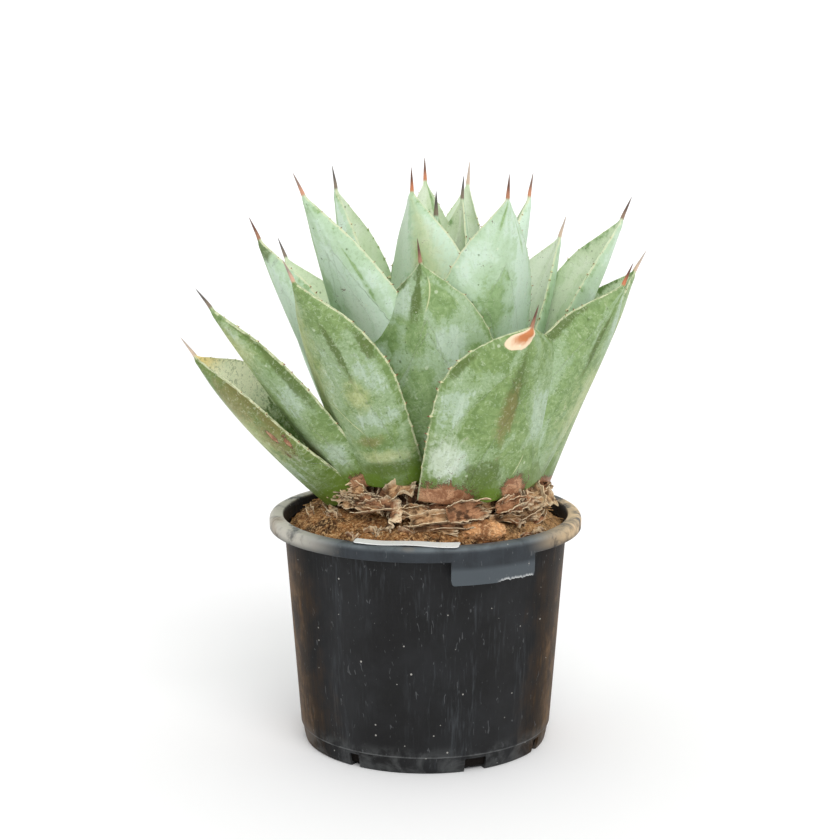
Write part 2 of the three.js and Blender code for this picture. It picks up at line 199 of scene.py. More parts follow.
def weld(gap):
    """Merges the active piece's vertices that lie within a gap in mm, and turns its faces outwards."""
    start_edit()
    bpy.ops.mesh.remove_doubles(threshold=gap * MM)
    bpy.ops.mesh.normals_make_consistent(inside=False)
    bpy.ops.object.mode_set(mode="OBJECT")


def close_ends(piece):
    """Fills every open ring of a piece and turns its faces outwards."""
    pick(piece)
    start_edit()
    bpy.ops.mesh.remove_doubles(threshold=0.01 * MM)
    bpy.ops.mesh.select_all(action="DESELECT")
    bpy.ops.mesh.select_non_manifold(extend=False, use_wire=False, use_multi_face=False,
                                     use_non_contiguous=False, use_verts=False)
    bpy.ops.mesh.edge_face_add()
    bpy.ops.mesh.select_all(action="SELECT")
    bpy.ops.mesh.normals_make_consistent(inside=False)
    bpy.ops.object.mode_set(mode="OBJECT")


def pot_wall():
    """The wall, heel and rim in one turned shell, with its floor closed below and inside."""
    shell = turned_profile("pot_shell", POT_OUTSIDE + POT_INSIDE, POT_SIDES)
    for first in (0, len(shell.data.vertices) - POT_SIDES):
        for vertex in shell.data.vertices:
            vertex.select = False
        for edge in shell.data.edges:
            edge.select = all(first <= i < first + POT_SIDES for i in edge.vertices)
        bpy.ops.object.mode_set(mode="EDIT")
        bpy.ops.mesh.edge_face_add()
        bpy.ops.mesh.select_all(action="DESELECT")
        bpy.ops.object.mode_set(mode="OBJECT")
    close_ends(shell)
    return shell


def cut_drains(shell):
    """Eight slots through the heel, where the wall meets the floor."""
    cutters = []
    for turn, width in DRAINS:
        clear_selection()
        angle = math.radians(turn)
        place = Vector((DRAIN_REACH * math.sin(angle), -DRAIN_REACH * math.cos(angle), DRAIN_MIDDLE))
        bpy.ops.mesh.primitive_cube_add(size=1, location=place * MM)
        slot = named("slot")
        slot.scale = Vector((width * 1.2, DRAIN_DEPTH, DRAIN_HEIGHT)) * MM
        slot.rotation_euler.z = angle
        settle(slot)
        apply_modifier(slot, "BEVEL", width=1.2 * MM, segments=2)
        cutters.append(slot)
    cutter = join(cutters, "slots")
    apply_modifier(shell, "BOOLEAN", operation="DIFFERENCE", solver="EXACT", object=cutter)
    bpy.data.objects.remove(cutter)


def fractal(x, y, z, hurst=0.7, gap=2.2, octaves=5):
    """Fractal noise at each of many places, whose coordinates are arrays or single numbers."""
    return np.array([noise.fractal(Vector(place), hurst, gap, octaves) for place in np.broadcast(x, y, z)])


def hand_tab(name, middle, chipped):
    """One tab: the rim's skirt carried down over an arc, with round corners; the front one is chipped."""
    tab, across, up = new_grid(name, 90, 18)
    down = (1 - up) / 2
    corner = np.clip((np.abs(across) - 0.93) / 0.07, 0, 1)
    drop = TAB_DROP - TAB_CORNER * (1 - np.sqrt(1 - corner ** 2))
    stress = np.zeros(len(across))
    if chipped:
        ragged = fractal(across * 16, 3.1, 0)
        bitten = np.clip((across - 0.02) / 0.1, 0, 1) * np.clip((0.97 - across) / 0.05, 0, 1)
        drop -= bitten * np.clip(1.6 + 1.6 * ragged, 0, 5)
        stress = bitten * np.clip((down - 0.9) / 0.1, 0, 1) * np.clip(0.85 + 0.6 * ragged, 0, 1)
    angle = math.radians(middle) + across * math.radians(TAB_HALF_ARC)
    radius = (TAB_RADIUS - TAB_DRAFT * down) * MM
    height = (TAB_TOP - down * drop) * MM
    place_points(tab, np.stack([radius * np.sin(angle), -radius * np.cos(angle), height], axis=1))
    set_field(tab, "stress", stress)
    thicken(tab, TAB_THICKNESS, 0.5, 50)
    return tab


def srgb(red, green, blue):
    """A colour given as it looks on a screen, 0 to 255, as the shader's linear numbers."""
    parts = [c / 255 for c in (red, green, blue)]
    return tuple(c / 12.92 if c <= 0.04045 else ((c + 0.055) / 1.055) ** 2.4 for c in parts) + (1.0,)


class Sheet:
    """A sheet of shader nodes.  Each call adds one node and gives back the output it is used for."""

    def __init__(self, tree):
        self.tree = tree

    def add(self, kind, inputs=(), **settings):
        made = self.tree.nodes.new("ShaderNode" + kind)
        for key, value in settings.items():
            setattr(made, key, value)
        for key, value in dict(inputs).items():
            self.feed(made.inputs[key], value)
        return made

    def feed(self, socket, value):
        if isinstance(value, bpy.types.NodeSocket):
            self.tree.links.new(value, socket)
        else:
            socket.default_value = value

    def object_place(self):
        return self.add("TexCoord").outputs["Object"]

    def along(self):
        return self.add("TexCoord").outputs["UV"]

    def field(self, name):
        return self.add("Attribute", attribute_name=name).outputs["Fac"]

    def split(self, vector):
        return self.add("SeparateXYZ", {"Vector": vector}).outputs

    def gather(self, x, y, z):
        return self.add("CombineXYZ", {"X": x, "Y": y, "Z": z}).outputs[0]

    def math(self, operation, a, b=0.0, c=0.0):
        made = self.add("Math", operation=operation)
        for socket, value in zip(made.inputs, (a, b, c)):
            self.feed(socket, value)
        return made.outputs[0]

    def times(self, a, b):
        return self.math("MULTIPLY", a, b)

    def plus(self, a, b):
        return self.math("ADD", a, b)

    def less(self, a, b):
        return self.math("SUBTRACT", a, b)

    def off(self, value, middle):
        """How far a value is from a middle one."""
        return self.math("ABSOLUTE", self.less(value, middle))

    def around(self, value, weight):
        """A pattern of 0 to 1, swinging about zero by a weight."""
        return self.times(self.less(value, 0.5), weight)

    def step(self, value, low, high, start=0.0, end=1.0):
        inputs = {"Value": value, "From Min": low, "From Max": high, "To Min": start, "To Max": end}
        return self.add("MapRange", inputs, interpolation_type="SMOOTHSTEP").outputs["Result"]

    def mix(self, mask, a, b):
        made = self.add("Mix", data_type="RGBA")
        for index, value in ((0, mask), (6, a), (7, b)):
            self.feed(made.inputs[index], value)
        return made.outputs[2]

    def coat(self, colour, tint, mask, share=1.0):
        """A tint laid over a colour where a mask shows it, as strong as its share."""
        strength = mask if share == 1.0 else self.times(mask, share)
        return self.mix(strength, colour, tint)

    def blend(self, mask, a, b):
        made = self.add("Mix", data_type="FLOAT")
        for index, value in ((0, mask), (2, a), (3, b)):
            self.feed(made.inputs[index], value)
        return made.outputs[0]

    def stretch(self, vector, scale, turn=(0, 0, 0)):
        return self.add("Mapping", {"Vector": vector, "Scale": scale, "Rotation": turn}).outputs[0]

    def noise(self, vector, scale, detail=3.0, roughness=0.55, distortion=0.0):
        inputs = {"Vector": vector, "Scale": scale, "Detail": detail, "Roughness": roughness}
        return self.add("TexNoise", {**inputs, "Distortion": distortion}).outputs["Fac"]

    def cells(self, vector, scale):
        made = self.add("TexVoronoi", {"Vector": vector, "Scale": scale})
        return made.outputs["Distance"], made.outputs["Color"]

    def bump(self, height, distance, strength=1.0, normal=None):
        inputs = {"Height": height, "Distance": distance, "Strength": strength}
        if normal is not None:
            inputs["Normal"] = normal
        return self.add("Bump", inputs).outputs["Normal"]

    def group(self, tree, inputs):
        made = self.add("Group", node_tree=tree)
        for key, value in inputs.items():
            self.feed(made.inputs[key], value)
        return made.outputs


def new_group(name, inputs, outputs):
    """An empty shader group with named sockets, its sheet, its inputs and its output node."""
    tree = bpy.data.node_groups.new(name, "ShaderNodeTree")
    kinds = {"float": "NodeSocketFloat", "vector": "NodeSocketVector"}
    for way, sockets in (("INPUT", inputs), ("OUTPUT", outputs)):
        for socket, kind in sockets.items():
            tree.interface.new_socket(name=socket, in_out=way, socket_type=kinds[kind])
    start = tree.nodes.new("NodeGroupInput")
    end = tree.nodes.new("NodeGroupOutput")
    return tree, Sheet(tree), start.outputs, end.inputs


def new_material(name, **shader):
    """A material with its sheet and its shader, whose plain values are set on the shader's own sockets."""
    material = bpy.data.materials.new(name)
    material.use_nodes = True
    tree = material.node_tree
    surface = next(n for n in tree.nodes if n.type == "BSDF_PRINCIPLED")
    for key, value in shader.items():
        surface.inputs[key.replace("_", " ").title().replace("Ior", "IOR")].default_value = value
    return material, Sheet(tree), surface.inputs


def speck_group():
    """Sparse round specks: each cell of a pattern either holds one or doesn't."""
    tree, sheet, given, end = new_group(
        "specks", {"Place": "vector", "Scale": "float", "Size": "float", "Share": "float"}, {"Mask": "float"})
    near, tint = sheet.cells(given["Place"], given["Scale"])
    chosen = sheet.math("LESS_THAN", sheet.split(tint)["X"], given["Share"])
    size = sheet.times(given["Size"], sheet.plus(sheet.split(tint)["Y"], 0.35))
    dot = sheet.step(near, sheet.times(size, 0.6), size, 1.0, 0.0)
    sheet.feed(end["Mask"], sheet.times(dot, chosen))
    return tree


def streak_group():
    """Long soft streaks along one direction, fine and coarse together."""
    tree, sheet, given, end = new_group(
        "streaks", {"Place": "vector", "Fine": "float", "Coarse": "float"}, {"Value": "float"})
    fine = sheet.noise(given["Place"], given["Fine"], 4.0, 0.6)
    coarse = sheet.noise(given["Place"], given["Coarse"], 2.0, 0.5)
    sheet.feed(end["Value"], sheet.plus(sheet.times(fine, 0.55), sheet.times(coarse, 0.45)))
    return tree


SPECKS = speck_group()
STREAKS = streak_group()


def pot_material():
    """Black plastic: scuffed in upright streaks and greyed on the skirt, with painted sheen browning the
    sides seen from the front, greying the rim's top and paling the rim's dusty ends.
    """
    material, sheet, shader = new_material("pot_plastic", specular_ior_level=0.2)
    place = sheet.object_place()
    x, y, z = sheet.split(place)
    level = sheet.split(sheet.add("NewGeometry").outputs["Normal"])["Z"]
    upright = sheet.stretch(place, (1, 1, 0.07))
    streaks = sheet.group(STREAKS, {"Place": upright, "Fine": 420.0, "Coarse": 70.0})["Value"]
    cloud = sheet.noise(place, 16.0, 5.0, 0.62)
    patch = sheet.noise(place, 42.0, 5.0, 0.65, 0.5)
    colour = sheet.mix(sheet.step(cloud, 0.35, 0.7), srgb(20, 20, 21), srgb(31, 32, 34))
    scuffed = sheet.times(sheet.step(streaks, 0.5, 0.66), sheet.step(sheet.noise(place, 9.0, 3.0), 0.4, 0.62))
    colour = sheet.coat(colour, srgb(72, 76, 80), scuffed, 0.5)
    # side and turned grow towards the left and right of the pot as seen from the front.
    side = sheet.off(x, 0.009)
    away = sheet.math("SQRT", sheet.plus(sheet.times(x, x), sheet.times(y, y)))
    turned = sheet.math("DIVIDE", sheet.math("ABSOLUTE", x), away)
    # The sides seen from the front are painted brown, lighter brown at their outer edges: painted sheen over
    # a dust film, weaker just under the rim.
    side_sheen_and_dust = sheet.plus(turned, sheet.step(z, 0.1, 0.03, 0.0, 0.05))
    for part, weight in ((cloud, 0.4), (streaks, 0.5), (patch, 0.3)):
        side_sheen_and_dust = sheet.plus(side_sheen_and_dust, sheet.around(part, weight))
    under_rim = sheet.step(z, 0.212, 0.15, 0.35, 1.0)
    brown_sheen_and_dust = sheet.times(sheet.step(side_sheen_and_dust, 0.72, 0.94), under_rim)
    colour = sheet.coat(colour, srgb(50, 38, 26), brown_sheen_and_dust, 0.85)
    edge = sheet.times(sheet.step(side_sheen_and_dust, 0.88, 1.1), under_rim)
    colour = sheet.coat(colour, srgb(118, 91, 63), edge, sheet.step(patch, 0.3, 0.65, 0.35, 0.75))
    ledge = sheet.step(sheet.off(z, 0.0168), 0.0012, 0.0003)
    colour = sheet.coat(colour, srgb(128, 130, 130), ledge, sheet.step(patch, 0.35, 0.6, 0.1, 0.6))
    heel = sheet.times(sheet.step(z, 0.03, 0.016), sheet.step(patch, 0.4, 0.6))
    colour = sheet.coat(colour, srgb(84, 86, 86), heel, 0.5)
    skirt = sheet.step(away, 0.1425, 0.1445)
    colour = sheet.coat(colour, srgb(52, 57, 62), skirt, sheet.step(patch, 0.2, 0.75, 0.5, 1.0))
    tag = sheet.times(skirt, sheet.step(z, 0.206, 0.2))
    colour = sheet.coat(colour, srgb(78, 85, 90), tag, 0.8)
    on_rim = sheet.times(sheet.step(z, 0.206, 0.217), sheet.step(away, 0.1362, 0.1378))
    # The rim's upward faces are painted blue-grey: a painted sheen from above.
    top = sheet.times(sheet.step(level, 0.05, 0.75), on_rim)
    colour = sheet.coat(colour, srgb(108, 116, 120), top, sheet.step(patch, 0.25, 0.7, 0.25, 0.85))
    # The rim's ends to the left and right as seen from the front are painted pale, warmer on the right:
    # chalky dust and painted sheen.
    dusty_end_sheen = sheet.times(sheet.times(sheet.step(side, 0.08, 0.14), on_rim), sheet.step(patch, 0.3, 0.55))
    end_sheen_tint = sheet.mix(sheet.step(x, 0.06, 0.13), srgb(200, 196, 184), srgb(226, 198, 158))
    colour = sheet.coat(colour, end_sheen_tint, dusty_end_sheen, 0.9)
    stain = sheet.times(on_rim, sheet.step(sheet.noise(place, 14.0, 4.0), 0.56, 0.68))
    colour = sheet.coat(colour, srgb(150, 126, 96), stain, 0.4)
    specks = sheet.group(SPECKS, {"Place": place, "Scale": 150.0, "Size": 0.13, "Share": 0.12})["Mask"]
    colour = sheet.coat(colour, srgb(176, 174, 168), specks, 0.85)
    hairs = sheet.noise(sheet.stretch(place, (1, 1, 0.3), (0.5, 0.3, 0)), 330.0, 1.0, 0.4, 1.2)
    hairs = sheet.step(hairs, 0.71, 0.75)
    colour = sheet.coat(colour, srgb(104, 106, 108), hairs, 0.35)
    colour = sheet.coat(colour, srgb(206, 208, 208), sheet.field("stress"))
    sheet.feed(shader["Base Color"], colour)
    sheet.feed(shader["Specular IOR Level"], sheet.step(turned, 0.55, 0.85, 0.2, 0.04))
    sheet.feed(shader["Roughness"], sheet.blend(scuffed, sheet.blend(cloud, 0.4, 0.55), 0.7))
    grain = sheet.bump(sheet.noise(place, 1500.0, 2.0), 0.0002, 0.35)
    sheet.feed(shader["Normal"], sheet.bump(streaks, 0.0006, 0.35, grain))
    return material


shell = pot_wall()
cut_drains(shell)
set_field(shell, "stress", np.zeros(len(shell.data.vertices)))
tabs = [hand_tab("tab_front", TAB_MIDDLE, True), hand_tab("tab_back", TAB_MIDDLE + 180, False)]
pot = join([shell] + tabs, "nursery_pot")
settle(pot, 30)
finish_with(pot, pot_material())
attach(pot, "root")
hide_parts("pot")


# ---------------------------------------------------------------- soil
# The pot is filled nearly to the rim with a brown peat and coir mix, mounded towards the stem.  It is
# one crumbly mass, with loose crumbs, bark chips, pale strands and a few white grains on its face.

SOIL_EDGE = 214
SOIL_CROWN = 245
SOIL_FLOOR = 3.7
SOIL_WALL = [(4, SOIL_FLOOR), (113.8, SOIL_FLOOR), (117.6, 17.4), (131.6, 202.4), (133, 204.8)]
SOIL_SIDES = 220
FACE_RADII = np.arange(131.2, 26, -1.7)
# The plant hides the soil within this radius, so nothing loose lies there.
HIDDEN = 66
PLAIN_TINT = 0.48


def soil_level(x, y):
    """Height of the soil's face in mm, at a place in mm."""
    radius = math.hypot(x, y)
    mound = (SOIL_CROWN - SOIL_EDGE) * max(math.cos(math.pi / 2 * min(radius / 128, 1)), 0) ** 0.8
    place = Vector((x, y, 0))
    heave = 1.9 * noise.fractal(place / 26, 0.8, 2.1, 3) + 1.3 * noise.fractal(place / 8, 0.7, 2.1, 4)
    moat = -7 * min(max((radius - 108) / 20, 0), 1) ** 1.5
    crack = -1.8 * max(0.12 - abs(noise.noise(place / 17 + Vector((7, 3, 1)))), 0) / 0.12
    return SOIL_EDGE + mound + moat + heave + crack * (noise.noise(place / 40) > -0.1)


def scatter(name, template, places, tint_seed):
    """Many copies of one small mesh as one piece: each place is a matrix, and each copy gets its own tint."""
    base = points_of(template)
    faces = [tuple(face.vertices) for face in template.data.polygons]
    points, polygons, tints = [], [], []
    rng = random.Random(tint_seed)
    for place in places:
        turned = np.array(place)
        start = len(points) * len(base)
        points.append(base @ turned[:3, :3].T + turned[:3, 3])
        polygons.extend(tuple(i + start for i in face) for face in faces)
        tints.extend([rng.random()] * len(base))
    mesh = bpy.data.meshes.new(name)
    mesh.from_pydata(np.concatenate(points).tolist(), [], polygons)
    piece = bpy.data.objects.new(name, mesh)
    bpy.context.collection.objects.link(piece)
    set_field(piece, "tint", tints)
    bpy.data.objects.remove(template)
    return piece


def crumb(name, seed, shape, detail=1):
    """A small lump: a ball pushed out of round by noise."""
    clear_selection()
    bpy.ops.mesh.primitive_ico_sphere_add(subdivisions=detail, radius=1)
    lump = named(name)
    points = points_of(lump)
    for point in points:
        point *= 1 + 0.45 * noise.noise(Vector(point) * 1.3 + Vector((seed, 0, 0)))
    place_points(lump, points * np.array(shape))
    return lump


def strand():
    """A short bent strand of coir, a thin three-sided tube."""
    clear_selection()
    bpy.ops.mesh.primitive_cylinder_add(vertices=3, radius=0.055, depth=2)
    piece = named("strand")
    for cut in (-0.4, 0.4):
        start_edit()
        bpy.ops.mesh.bisect(plane_co=(0, 0, cut), plane_no=(0, 0, 1))
        bpy.ops.object.mode_set(mode="OBJECT")
    points = points_of(piece)
    points = np.stack([points[:, 2], points[:, 0], points[:, 1] + 0.16 * (1 - points[:, 2] ** 2)], axis=1)
    place_points(piece, points)
    return piece


def soil_places(count, inner, outer, low, high, seed, lift, flat=False):
    """Matrices of small things on the soil between two radii: their sizes, and how much of one stands up."""
    rng = random.Random(seed)
    places = []
    tilt = 0.35 if flat else 3.1
    for _ in range(count):
        radius = math.sqrt(rng.uniform(inner ** 2, outer ** 2))
        angle = rng.uniform(0, 2 * math.pi)
        x, y = radius * math.cos(angle), radius * math.sin(angle)
        size = low + (high - low) * rng.random() ** 2.2
        turn = Matrix.Rotation(rng.uniform(0, 6.28), 4, "Z")
        turn = turn @ Matrix.Rotation(rng.uniform(-tilt, tilt), 4, "X")
        spot = Vector((x, y, soil_level(x, y) + size * lift)) * MM
        places.append(Matrix.Translation(spot) @ turn @ Matrix.Scale(size * MM, 4))
    return places


def soil_material(name, pale, middle, dark):
    """Peat and coir: dark crumbs with paler grain and threads, and a tint of its own for each loose bit."""
    material, sheet, shader = new_material(name, roughness=0.95, specular_ior_level=0.15)
    place = sheet.object_place()
    coarse = sheet.noise(place, 60.0, 5.0, 0.65)
    grain = sheet.noise(place, 340.0, 4.0, 0.7)
    hairs = sheet.noise(sheet.stretch(place, (1, 0.18, 1), (0.2, 0.1, 0.7)), 520.0, 2.0, 0.5, 2.0)
    hairs_too = sheet.noise(sheet.stretch(place, (0.18, 1, 1), (0.3, 0.2, 0.4)), 480.0, 2.0, 0.5, 2.0)
    colour = sheet.mix(sheet.step(coarse, 0.38, 0.58), dark, middle)
    colour = sheet.coat(colour, pale, sheet.step(sheet.split(place)["X"], 0.05, 0.11, 0.0, 0.35))
    colour = sheet.coat(colour, pale, sheet.step(grain, 0.5, 0.62), 0.85)
    colour = sheet.coat(colour, dark, sheet.step(grain, 0.44, 0.36), 0.9)
    threads = sheet.math("MAXIMUM", sheet.step(hairs, 0.62, 0.66), sheet.step(hairs_too, 0.63, 0.67))
    colour = sheet.coat(colour, pale, threads, 0.5)
    # Near black low in the mass, deep inside the pot: painted shade.
    colour = sheet.coat(colour, srgb(24, 20, 17), sheet.step(sheet.split(place)["Z"], 0.05, 0.02))
    tint = sheet.field("tint")
    colour = sheet.coat(colour, pale, sheet.step(tint, 0.55, 1.0, 0.0, 0.7))
    colour = sheet.coat(colour, dark, sheet.step(tint, 0.4, 0.02, 0.0, 0.7))
    sheet.feed(shader["Base Color"], colour)
    relief = sheet.bump(coarse, 0.004, 0.6)
    sheet.feed(shader["Normal"], sheet.bump(sheet.plus(grain, threads), 0.0016, 1.0, relief))
    return material


def grain_material():
    material, sheet, shader = new_material("white_grain", roughness=0.9)
    chalky = sheet.noise(sheet.object_place(), 900.0, 3.0)
    sheet.feed(shader["Base Color"], sheet.mix(chalky, srgb(205, 200, 188), srgb(240, 238, 230)))
    return material


rings = [(radius, soil_level(radius, 0)) for radius in FACE_RADII]
soil = turned_profile("soil_mass", SOIL_WALL + rings + [(4, 240)], SOIL_SIDES)
close_ends(soil)
points = points_of(soil)
for point in points:
    reach = math.hypot(point[0], point[1]) / MM
    if point[2] > 0.2 and reach < 131.3:
        point[2] = soil_level(point[0] / MM, point[1] / MM) * MM
place_points(soil, points)
SOIL_SKIN = soil_material("soil_mix", srgb(222, 180, 128), srgb(160, 112, 68), srgb(62, 40, 25))
crumbs = scatter("crumbs", crumb("crumb", 3, (1, 0.85, 0.75)),
                 soil_places(2600, HIDDEN, 131.5, 0.8, 4.2, 11, 0.2), 1)
chips = scatter("chips", crumb("chip", 8, (1, 0.45, 0.16), 2),
                soil_places(230, HIDDEN, 130, 1.8, 6.5, 12, 0.25, True), 2)
strands = scatter("strands", strand(), soil_places(1100, HIDDEN, 130, 3, 12, 13, 0.12, True), 3)
grains = scatter("grains", crumb("grain", 5, (1, 0.9, 0.8), 2),
                 soil_places(26, 88, 129, 0.7, 1.7, 14, 0.3), 4)
finish_with(grains, grain_material())
loose = join([crumbs, chips, strands], "soil_crumbs")
set_field(soil, "tint", np.full(len(points), PLAIN_TINT))
for piece in (soil, loose, grains):
    settle(piece, 60)
    if piece is not grains:
        finish_with(piece, SOIL_SKIN)
    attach(piece, "root")
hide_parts("soil")

# The clod is a loose round lump of the same mix, dug up and left in front of the plant.  Its colours are set
# much brighter than the soil's: painted light against the shade of the leaves over it.
low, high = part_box("soil_clod")
clear_selection()
bpy.ops.mesh.primitive_ico_sphere_add(subdivisions=6, radius=1)
clod = named("clod")
points = points_of(clod) * np.array((high - low) / 2)
for point in points:
    place = Vector(point) / MM
    lumps = 0.07 * noise.fractal(place / 11, 0.8, 2.1, 3) + 0.05 * noise.fractal(place / 3, 0.6, 2.1, 4)
    point *= 0.96 + lumps
place_points(clod, points + np.array((low + high) / 2))
set_field(clod, "tint", np.full(len(points), PLAIN_TINT))
settle(clod, 50)
finish_with(clod, soil_material("clod_mix_painted_light", srgb(246, 200, 152), srgb(228, 168, 114), srgb(156, 108, 72)))
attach(clod, "root")
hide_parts("soil_clod")


# ---------------------------------------------------------------- stem
# The stem is short, thick and hidden: what shows of it is a band of old leaf feet, brown, papery and
# torn, that lap over one another like shingles just above the soil.

CROWN = Vector((8, 0, 0))
STEM_PROFILE = [
    (46, 200), (60, 212), (70, 222), (76, 232), (79, 242), (80, 252), (76, 262), (66, 274), (50, 286),
    (24, 298),
]
SHINGLE_ROWS = ((236, 15), (245, 17))


def dry_material(name, pale, middle, dark):
    """Dead leaf: fibrous along its length, pale where it frays and stained dark in patches."""
    material, sheet, shader = new_material(name, roughness=0.82, specular_ior_level=0.2)
    place = sheet.object_place()
    across, along, _ = sheet.split(sheet.along())
    fibres = sheet.gather(sheet.times(across, 26.0), sheet.times(along, 1.6), sheet.field("tint"))
    lines = sheet.group(STREAKS, {"Place": fibres, "Fine": 2.4, "Coarse": 0.7})["Value"]
    patch = sheet.noise(place, 75.0, 5.0, 0.65, 0.8)
    speckle = sheet.noise(place, 420.0, 3.0, 0.65)
    mottle = sheet.noise(place, 130.0, 4.0, 0.6)
    mixed = sheet.plus(sheet.times(lines, 0.45), sheet.times(mottle, 0.55))
    colour = sheet.mix(sheet.step(mixed, 0.42, 0.58), middle, pale)
    colour = sheet.coat(colour, dark, sheet.step(patch, 0.46, 0.6), 0.85)
    colour = sheet.coat(colour, dark, sheet.step(speckle, 0.58, 0.7), 0.4)
    frayed = sheet.times(sheet.field("fray"), sheet.step(speckle, 0.3, 0.55))
    colour = sheet.coat(colour, srgb(240, 222, 188), frayed, 0.75)
    sheet.feed(shader["Base Color"], colour)
    relief = sheet.bump(mixed, 0.0016, 0.7)
    sheet.feed(shader["Normal"], sheet.bump(speckle, 0.0004, 0.5, relief))
    return material


def curled_sheet(name, start, end, side, width, bow, cup, roll, seed, rough=1.0, thick=0.9, mesh=(26, 38)):
    """A papery strip between two points, hollowed, bowed and wrinkled, with torn and curled edges."""
    strip, u, v = new_grid(name, *mesh)
    s = (v + 1) / 2
    start, end, side = (np.array(v, dtype=float) for v in (start, end, side))
    run = end - start
    side = side - run * (side @ run) / (run @ run)
    side /= np.linalg.norm(side)
    up = np.cross(side, run)
    up /= np.linalg.norm(up)
    if up[2] < 0:
        up = -up
    torn = fractal(u * 2.6, seed * 3.7, 0)
    ragged = fractal(s * 5 + np.sign(u), seed * 5.3, 9, octaves=4)
    reach = s * (1 + 0.13 * torn * rough * s)
    half = width / 2 * (0.75 + 0.5 * s - 0.6 * s * s) * (1 + 0.16 * ragged * rough * np.abs(u))
    angle = np.radians(roll) * s
    curl = np.clip(np.abs(u) - 0.62, 0, 1) / 0.38
    lift = half * cup * u * u + bow * 4 * s * (1 - s)
    lift = lift + 0.3 * half * curl ** 2 * np.where(torn > -0.2, 1, -0.4)
    out = half * u * (1 - 0.1 * u * u) * (1 - 0.12 * curl ** 2)
    creases = fractal(u * 3.2, s * 1.1, seed, 0.8, 2.1, 4)
    lift = lift + 1.9 * rough * creases * (0.4 + 0.6 * np.abs(u))
    tip_curl = np.clip(s - 0.8, 0, 1) / 0.2
    lift = lift + 3.2 * rough * tip_curl ** 2 * np.where(torn > 0, 1.0, -0.5)
    across = out * np.cos(angle) - lift * np.sin(angle)
    above = out * np.sin(angle) + lift * np.cos(angle)
    points = start + run * reach[:, None] + side * across[:, None] + up * above[:, None]
    place_points(strip, points * MM)
    frayed = np.maximum((np.abs(u) - 0.8) / 0.14, (s - 0.9) / 0.07)
    set_field(strip, "fray", np.clip(frayed, 0, 1))
    set_field(strip, "tint", np.full(len(u), random.Random(seed).random() * 6))
    thicken(strip, thick)
    return strip


def stem_place(turn, radius, height):
    """A place in mm by its turn round the stem from the front, its radius and its height."""
    angle = math.radians(turn)
    return (CROWN.x + radius * math.sin(angle), -radius * math.cos(angle), height)


stem = turned_profile("stem_core", STEM_PROFILE, 120)
close_ends(stem)
points = points_of(stem)
for point in points:
    point[:2] *= 1 + 0.03 * noise.fractal(Vector(point) / 0.012, 0.8, 2.1, 4)
place_points(stem, points + np.array(CROWN) * MM)
set_field(stem, "tint", np.full(len(points), 1.0))
set_field(stem, "fray", np.zeros(len(points)))
shingles = []
rng = random.Random(21)
for row, (low, count) in enumerate(SHINGLE_ROWS):
    for k in range(count):
        turn = 360 / count * (k + 0.5 * row) + rng.uniform(-5, 5)
        foot, top = low + rng.uniform(-4, 3), low + 14 + rng.uniform(-2, 7)
        angle = math.radians(turn)
        shingles.append(curled_sheet(
            "shingle", stem_place(turn, 80.5 + row, foot), stem_place(turn, 82.5, top),
            (math.cos(angle), math.sin(angle), 0), rng.uniform(34, 46), 0.5, -0.12, 0,
            50 + k + 20 * row, mesh=(18, 26)))
stem = join([stem] + shingles, "stem_and_shingles")
settle(stem, 50)
finish_with(stem, dry_material("old_feet", srgb(148, 108, 78), srgb(102, 70, 46), srgb(48, 32, 22)))
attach(stem, "root")
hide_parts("stem")


# ---------------------------------------------------------------- leaves
# The live leaves: thick, water-filled blades, hollowed on the inner face and keeled on the outer one,
# each clasping the short stem.  A grey-green bloom of wax covers them and rubs off to bare green.
# Small teeth stand on the wavy margins, and every blade ends in a hard dark spine.

SIDE_COLUMNS = 27
BLADE_ROWS = 84
SPINE_ROWS = 9
SPINE_LENGTH = 22
SPINE_RADIUS = 1.9
EDGE = 1.5
THICKNESS = 15
WIDEST = 0.46
CUP_AT_FOOT = 0.8
CUP_GROWTH = 0.4
WAVE = 1.1
WAVES = 9

# bow: how far the midrib bows outwards.  cup: how deep the blade is hollowed.  blunt: broadness of the point.
# roll: twist at the tip, degrees.  sway: lean to its own side.  foot: narrowing at the stem.
# draw: how far the point is drawn out.
USUAL_LEAF = dict(bow=3, cup=0.36, blunt=2.0, roll=0, sway=0, foot=0.86, draw=0.42)

